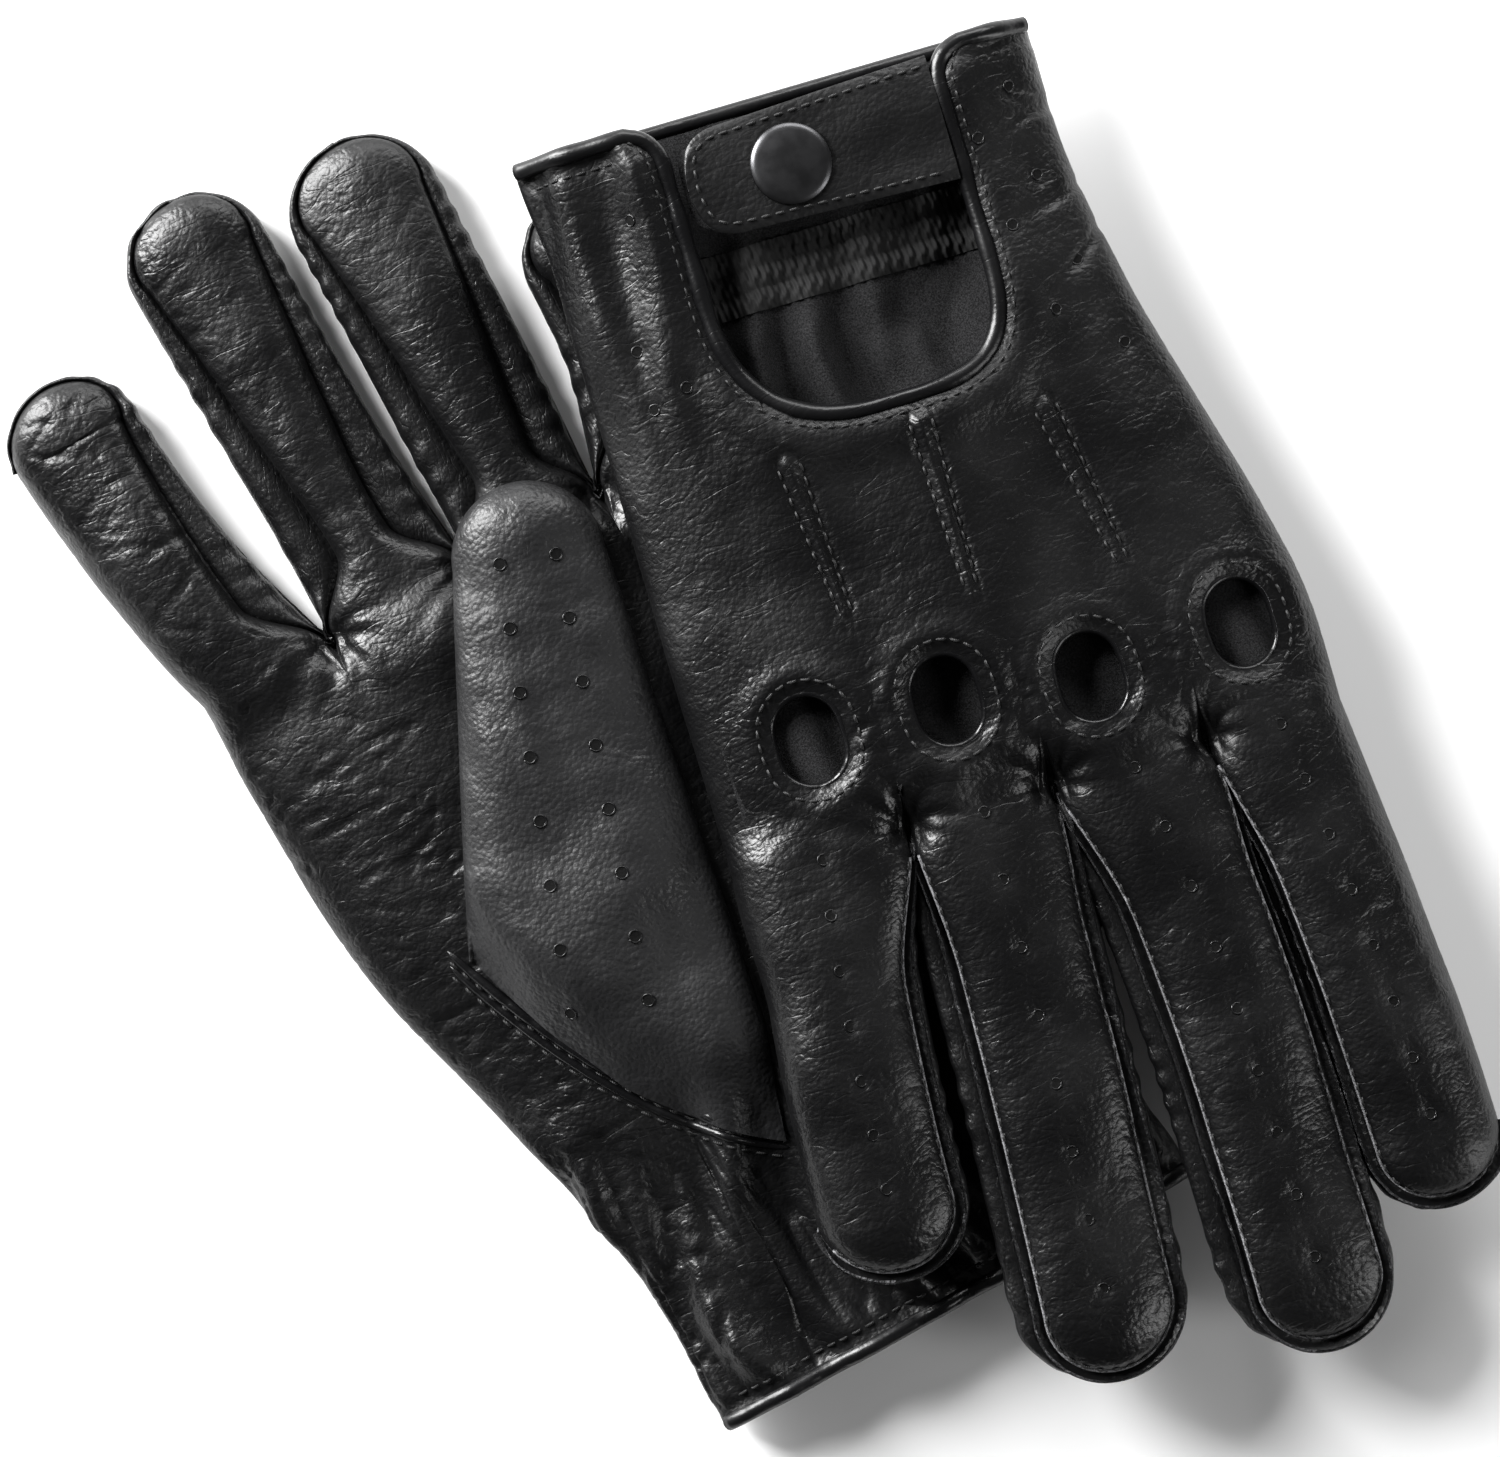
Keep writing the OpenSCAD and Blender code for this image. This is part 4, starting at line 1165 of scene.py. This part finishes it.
def thumb_shell(side):
    v = np.linspace(0, 1, 112)
    end = thumb_length - thumb_round
    y_left, y_mid, y_right = mix(base_slant, end, v), mix(0, end, v), mix(-base_slant, end, v)
    turn = np.linspace(np.pi, 0, 44)[1:-1]
    tip = np.stack([thumb_half(end) * np.cos(turn), end + thumb_round * np.sin(turn)], 1)
    edge = np.concatenate([np.stack([-thumb_half(y_left), y_left], 1), tip,
                           np.stack([thumb_half(y_right), y_right], 1)[::-1]])
    spine = np.concatenate([np.stack([v * 0, y_mid], 1), np.tile([0, end], (len(tip), 1)),
                            np.stack([v * 0, y_mid], 1)[::-1]])
    along = np.concatenate([v, np.ones(len(tip)), v[::-1]])
    return edge, spine, along


def lofted(columns):
    """One welded sheet from columns of points."""
    grid = np.stack(columns, 1)
    return weld(grid.reshape(-1, 3), grid_quads(*grid.shape[:2]))


print("thumb is", thumb_length, "mm long and", 2 * base_half, "mm wide at its base")

# %% [markdown]
# The outer half crosses the fold, so it has to stretch when the thumb swings away. It could ride the thumb
# and leave a gap, or ride the palm and not move. Here it is attached to neither, and keeps its place. The
# inner half lies past the fold and rides the thumb.


# %% Make the two halves of each thumb
def thumb_outer(side, edge, spine, along, base_z):
    placed_edge = thumb_place(side, bowed(edge))
    if side == "left":
        low = np.clip(on_skin("left", placed_edge)[0][:, 2] + 0.2, 5, base_z + 1)
        low = mix(low, base_z + 0.1, ease((along - 0.12) / 0.25))
    else:
        low = np.full(len(edge), base_z + leather)
    top = base_z + thumb_rise
    columns = []
    for u in np.cos(np.linspace(0, np.pi / 2, 26)):
        xy = thumb_place(side, bowed(spine + (edge - spine) * u))
        raised = ease((along + 0.05) / 0.25)
        under = on_skin("left", xy)[0][:, 2] + 0.6 if side == "left" else np.full(len(xy), base_z + leather)
        z = low + (top - low) * arch(u)
        z = mix(np.minimum(under, z), z, raised)
        columns.append(np.column_stack([xy, z]))
    points, quads = lofted(columns)
    normal = normals_of(points, quads)
    x, y = points[:, 0], points[:, 1]
    h = 0.45 * waves(x, y, 26, 32, 60) + 0.12 * waves(x, y, 9, 12, 61) + 0.2 * crease(x, y, 20, 9, 62, 0.08)
    points = points + normal * (h * np.clip(normal[:, 2], 0, 1))[:, None]
    if side == "right":
        points[:, 2] *= -1
        quads = quads[:, ::-1]
    piece = thick_piece(f"{side}_thumb_outer_skin", side, points, quads, skin_thickness,
                        [thumb_leather_painted_light, flesh_side, cut_edge])
    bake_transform(piece)
    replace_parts(piece, f"{side}_thumb_outer")
    return points, quads


def thumb_inner(side, edge, spine, along, base_z):
    keep = along > 0.2
    keep |= np.roll(keep, 1)
    columns = [np.column_stack([thumb_place(side, spine + (edge - spine) * u * 0.97),
                                np.full(len(edge), (base_z + 0.1) * (1 if side == "left" else -1))])[keep]
               for u in np.cos(np.linspace(0, np.pi / 2, 12))]
    points, quads = lofted(columns)
    quads = quads if side == "right" else quads[:, ::-1]
    piece = thick_piece(f"{side}_thumb_inner_skin", side, points, quads, 0.6,
                        [thumb_leather_painted_light, flesh_side, cut_edge])
    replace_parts(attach(piece, f"{side}_thumb"), f"{side}_thumb_inner")


thumb_skin = {}
for side in SIDES:
    shell = thumb_shell(side)
    base_z = hand_height + 0.4 if side == "left" else 0.4
    thumb_skin[side] = thumb_outer(side, *shell, base_z)
    thumb_inner(side, *shell, base_z)
print("thumbs shaped")

# %% [markdown]
# Piping is a strip of leather rolled round a cord. It binds the keyhole and runs on round the cuff. A
# bevelled curve could do it too. A tube built here can change thickness a little along its run, as sewn
# piping does.


# %% Bind the cuff and keyhole
def keyhole_path(grow=0.0):
    """Round the keyhole from its pinky side to its index side."""
    turn = np.linspace(0, np.pi, 60)
    power = np.where(np.cos(turn) < 0, 3.6, 2.4)
    r = 1 / (np.abs(np.cos(turn)) ** power + np.abs(np.sin(turn)) ** power) ** (1 / power)
    r *= keyhole_half + grow
    arc = np.column_stack([keyhole_across + r * np.cos(turn), keyhole_round_from + r * np.sin(turn)])
    y = mix(0.0, keyhole_round_from, np.linspace(0, 1, 40)[:-1] ** 1.5)
    up = np.column_stack([arc[0, 0] + mouth(y), y])
    down = np.column_stack([arc[-1, 0] - mouth(y), y])[::-1]
    return np.concatenate([up, arc, down])


def edge_height(side, xy):
    if side == "left":
        return lift("left", xy[:, 1]) + 0.45
    return on_skin("right", np.column_stack([xy[:, 0], np.maximum(xy[:, 1], 0.5)]))[0][:, 2] - 0.3


parts = {side: [] for side in SIDES}
for side in SIDES:
    hole = keyhole_path(0.3)
    cuff_a = np.column_stack([np.linspace(43.3, hole[0, 0] + 0.8, 30), np.full(30, -0.4)])
    cuff_b = np.column_stack([np.linspace(hole[-1, 0] - 0.8, -44.3, 24), np.full(24, -0.4)])
    path = spaced(np.concatenate([cuff_a, hole, cuff_b]), 0.9)
    z = edge_height(side, path)
    z = np.convolve(np.pad(z, 4, mode="edge"), np.ones(9) / 9, mode="valid")
    wobble = 1 + 0.05 * waves(path[:, 0], path[:, 1], 9, 9, 70)
    parts[side].append(tube(np.column_stack([path, z]), 1.45 * wobble, sides=14))
    x = np.linspace(-44.3, 43.3, 110)
    low = np.full(110, 0.45)
    if side == "left":
        low = on_skin("left", np.column_stack([x, np.full(110, 0.5)]))[0][:, 2] - 0.4
    parts[side].append(tube(np.column_stack([x, np.full(110, -0.4), low]), 1.4, sides=14))
    points, faces = gathered(parts[side])
    piece = new_piece(f"{side}_piping", side, points, faces, [piping_leather])
    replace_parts(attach(piece, hand_body[side]), f"{side}_cuff_piping")
rows = stitch_row(*on_skin("right", spaced(keyhole_path(2.6), 0.7)), length=1.6, gap=0.8, radius=0.2)
sew("right_keyhole_stitches", "right", rows, "right_hand")
x = np.linspace(-41, 40, 120)
rows = stitch_row(*on_skin("left", np.column_stack([x, np.full(120, 3.0)])), length=1.8, gap=0.8)
sew("left_cuff_stitches", "left", rows, "left_hand")
for low, high in ((-43, -34), (28, 42)):
    x = np.linspace(low, high, 40)
    rows = stitch_row(*on_skin("right", np.column_stack([x, np.full(40, 3.2)])), length=1.6, gap=0.8)
    sew(f"right_cuff_stitches_{'index' if low < 0 else 'pinky'}_side", "right", rows, "right_hand")
print("piping bound")

# %% [markdown]
# The strap is two layers of leather sewn together round their edge. It grows out of the index side of the
# keyhole and snaps onto a tab on the other side, which carries the stud. The layers are two sheets with a
# shared outline, so the raw edge shows both. The snap cap is a section turned about its own axis.

# %% Plan the strap and its tab
strap_middle, strap_half = 11.0, 8.8
strap_end, strap_start = 17.5, -26.3
strap_level = {"left": cuff_lift["left"] - 0.4, "right": 9.2}
snap_at = np.array([0.0, 11.5])


def strap_plan(x_share, across):
    """A point of the strap from its root, 0, to its rounded end, 1."""
    x = mix(strap_start, strap_end, x_share)
    tip = np.clip((x - (strap_end - 7.5)) / 7.5, 0, 1)
    half = (strap_half + 1.8 * (1 - x_share)) * (1 - tip**2.6) ** (1 / 2.6)
    return x, strap_middle + across * np.maximum(half, 0.4)


def flip(side, points):
    """The left glove's strap faces the table."""
    points = np.asarray(points, float).copy()
    sign = -1 if side == "left" else 1
    points[:, 2] = strap_level[side] + points[:, 2] * sign
    return points


def soft_sheet(side, node):
    """A leather sheet with rounded corners, where a flat node lies."""
    corners = node_points(side, f"{side}_{node}")
    (x0, y0, z0), (x1, y1, z1) = corners.min(0), corners.max(0)
    u, v = np.meshgrid(np.sin(np.linspace(-1, 1, 40) * np.pi / 2), np.sin(np.linspace(-1, 1, 40) * np.pi / 2),
                       indexing="ij")
    square = (1 - 0.09 * v**6) * u, (1 - 0.09 * u**6) * v
    x = mix(x0, x1, (square[0] + 1) / 2)
    y = mix(y0, y1, (square[1] + 1) / 2)
    thick = min(1.0, (z1 - z0) * 0.8)
    z = z1 - 0.15 + 0.12 * waves(x, y, 12, 12, 90) - 0.2 * np.maximum(np.abs(u), np.abs(v)) ** 12
    piece = thick_piece(f"{side}_{node}_leather", side, np.stack([x, y, z], -1).reshape(-1, 3),
                        grid_quads(*x.shape), thick, [strap_leather, flesh_side, cut_edge])
    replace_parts(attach(piece, hand_body[side]), f"{side}_{node}")


print("strap is", strap_end - strap_start, "mm long")

# %% [markdown]
# The strap's two layers are laid one on the other, then sewn, and last the snap is pressed through. Each
# step is a function, so that both gloves get the same strap. On the left glove it faces the table.


# %% Make the straps and the snaps
def strap_bow(x, y):
    """A soft unevenness that fades out under the snap end."""
    return 0.25 * waves(x, y, 24, 16, 80) * ease((strap_end - x) / 20)


def strap_layer(side, layer, low, high, material):
    s, a = np.meshgrid(1 - (1 - np.linspace(0, 1, 60)) ** 1.6, np.sin(np.linspace(-1, 1, 40) * np.pi / 2),
                       indexing="ij")
    x, y = strap_plan(s, a)
    z = high + (strap_bow(x, y) if layer == "outer" else 0) - 0.45 * np.abs(a) ** 10
    grid = np.stack([x, y, np.broadcast_to(z, x.shape)], -1).reshape(-1, 3)
    quads = grid_quads(*s.shape)[:, ::-1]
    if side == "left":
        quads = quads[:, ::-1]
    piece = thick_piece(f"{side}_strap_{layer}_leather", side, flip(side, grid), quads, high - low,
                        [material, flesh_side, cut_edge])
    node = f"{side}_strap" if layer == "outer" else f"{side}_strap_lining"
    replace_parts(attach(piece, f"{side}_strap"), node)


def strap_seam(side):
    low_edge = np.column_stack(strap_plan(np.linspace(0.02, 1, 90), -1))
    loop = np.concatenate([low_edge, (low_edge * [1, -1] + [0, 2 * strap_middle])[::-1]])
    heading = np.gradient(loop, axis=0)
    heading /= np.linalg.norm(heading, axis=1, keepdims=True) + 1e-9
    inner = loop + np.column_stack([-heading[:, 1], heading[:, 0]]) * 1.6
    inner = spaced(inner, 0.7)
    spots = flip(side, np.column_stack([inner, 1.95 + strap_bow(inner[:, 0], inner[:, 1])]))
    ways = np.tile([0, 0, -1.0 if side == "left" else 1.0], (len(spots), 1))
    sew(f"{side}_strap_stitches", side, stitch_row(spots, ways, length=1.6, gap=0.8), f"{side}_strap")


def snap_dome(side, radius=6.85):
    turn = np.linspace(0, 2 * np.pi, 73)
    profile = [(radius - 1.2, 1.9), (radius - 0.15, 2.05), (radius, 2.35), (radius - 0.2, 2.65),
               (radius - 0.9, 2.9)]
    profile += [(r, 2.95 + 0.45 * (1 - (r / 5.6) ** 2)) for r in np.linspace(5.5, 0.02, 12)]
    grid = np.stack([np.column_stack([snap_at[0] + r * np.cos(turn), snap_at[1] + r * np.sin(turn),
                                      np.full(73, z)]) for r, z in profile])
    points, quads = weld(grid.reshape(-1, 3), grid_quads(*grid.shape[:2]))
    quads = quads if side == "right" else quads[:, ::-1]
    piece = new_piece(f"{side}_snap_dome", side, flip(side, points), quads.tolist(), [snap_metal])
    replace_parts(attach(piece, f"{side}_strap"), f"{side}_snap_cap")


for side in SIDES:
    strap_layer(side, "outer", 1.0, 2.0, strap_leather)
    strap_layer(side, "lining", 0.05, 0.95, flesh_side)
    strap_seam(side)
    snap_dome(side)
    for node in ("underlap_tab", "strap_anchor"):
        soft_sheet(side, node)
    stud = frame["nodes"][f"{side}_snap_stud"]
    stud.data.materials.clear()
    stud.data.materials.append(snap_metal)
print("straps and snaps made")

# %% [markdown]
# The left thumb has two rows of perforations and a double seam where it joins the palm. The seam is two
# welts that taper at their ends, laid on the palm along the thumb's own base line so that both always meet.

# %% Finish the left thumb
points, quads = thumb_skin["left"]
palm_surface = surface["left"]
surface["left"] = BVHTree.FromPolygons(points.tolist(), [list(dict.fromkeys(q)) for q in quads.tolist()])
v = np.linspace(0.08, 0.9, 8)
xy = np.concatenate([thumb_place("left", np.column_stack([np.full(8, s) * (1 + 0.5 * (1 - v)), v * 92]))
                     for s in (-4.5, 4.5)])
punch("left_thumb_perforations", "left", xy, lambda p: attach(p, "left_thumb"), radius=0.95)
surface["left"] = palm_surface
u = np.linspace(-1, 1, 80)
for k, (inset, radius) in enumerate(((-1.2, 1.0), (1.4, 0.8))):
    xy = thumb_place("left", bowed(np.column_stack([u * seam_half, -base_slant * u])) - [0, inset])
    spots, ways = on_skin("left", xy, sink=0.1)
    p, f = tube(spots, radius * (1 - np.abs(u) ** 8) ** 0.5 + 0.02, sides=10)
    piece = new_piece(f"left_thumb_welt_{k + 1}", "left", p, f, [piping_leather])
    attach(piece, "left_hand")
    xy = thumb_place("left", bowed(np.column_stack([u * seam_half, -base_slant * u])) - [0, inset + 1.7])
    rows = stitch_row(*on_skin("left", spaced(xy, 0.7)))
    sew(f"left_thumb_seam_stitches_{k + 1}", "left", rows, "left_hand")
print("left thumb finished")

# %% [markdown]
# Black leather shows its shape only by what it reflects. One small light would make sparkles, so a large
# soft one stands off one side like a window, with a weak one behind and another opposite. The floor is
# plain and pale. The camera looks straight down with a long lens, turned so that the gloves lie aslant.

# %% Light the table and place the camera
mesh = bpy.data.meshes.new("table_top")
reach = 3.0
corners = [(-reach, -reach, 0), (reach, -reach, 0), (reach, reach, 0), (-reach, reach, 0)]
mesh.from_pydata(corners, [], [(0, 1, 2, 3)])
floor = bpy.data.objects.new("table_top", mesh)
bpy.context.scene.collection.objects.link(floor)
paper = bpy.data.materials.new("pale_table")
paper.use_nodes = True
paper.node_tree.nodes["Principled BSDF"].inputs["Base Color"].default_value = (0.86, 0.86, 0.86, 1)
paper.node_tree.nodes["Principled BSDF"].inputs["Roughness"].default_value = 0.9
mesh.materials.append(paper)

view_turn = np.radians(-22.75)
view_right = np.array([np.cos(view_turn), np.sin(view_turn), 0])
view_up = np.array([-np.sin(view_turn), np.cos(view_turn), 0])
view_centre = np.array([1.6, 6.2, 12.0]) * MM


def soft_light(name, right, up, height, size, power):
    data = bpy.data.lights.new(name, "AREA")
    data.shape = "RECTANGLE"
    data.size, data.size_y = size
    data.energy = power
    lamp = bpy.data.objects.new(name, data)
    spot = view_centre + view_right * right + view_up * up + np.array([0, 0, height])
    lamp.location = spot
    lamp.rotation_euler = (Vector(view_centre) - Vector(spot)).to_track_quat("-Z", "Y").to_euler()
    bpy.context.scene.collection.objects.link(lamp)
    return lamp


soft_light("window_light", -0.95, 0.60, 0.50, (0.5, 0.9), 62)
soft_light("top_light", 0.15, 1.0, 0.45, (1.0, 0.4), 12)
soft_light("bounce_light", 0.95, -0.35, 0.4, (0.3, 0.9), 6)
world = bpy.data.worlds.new("studio")
world.use_nodes = True
world.node_tree.nodes["Background"].inputs["Color"].default_value = (1, 1, 1, 1)
world.node_tree.nodes["Background"].inputs["Strength"].default_value = 0.06
bpy.context.scene.world = world

view_width, camera_height = 0.250, 1.1
camera_data = bpy.data.cameras.new("camera")
camera_data.sensor_width = 36
camera_data.lens = 36 * camera_height / view_width
camera = bpy.data.objects.new("camera", camera_data)
camera.location = view_centre + np.array([0, 0, camera_height])
camera.rotation_euler = (0, 0, view_turn)
bpy.context.scene.collection.objects.link(camera)
bpy.context.scene.camera = camera
bpy.context.scene.view_settings.view_transform = "Standard"
print("camera lens", round(camera_data.lens, 1), "mm")
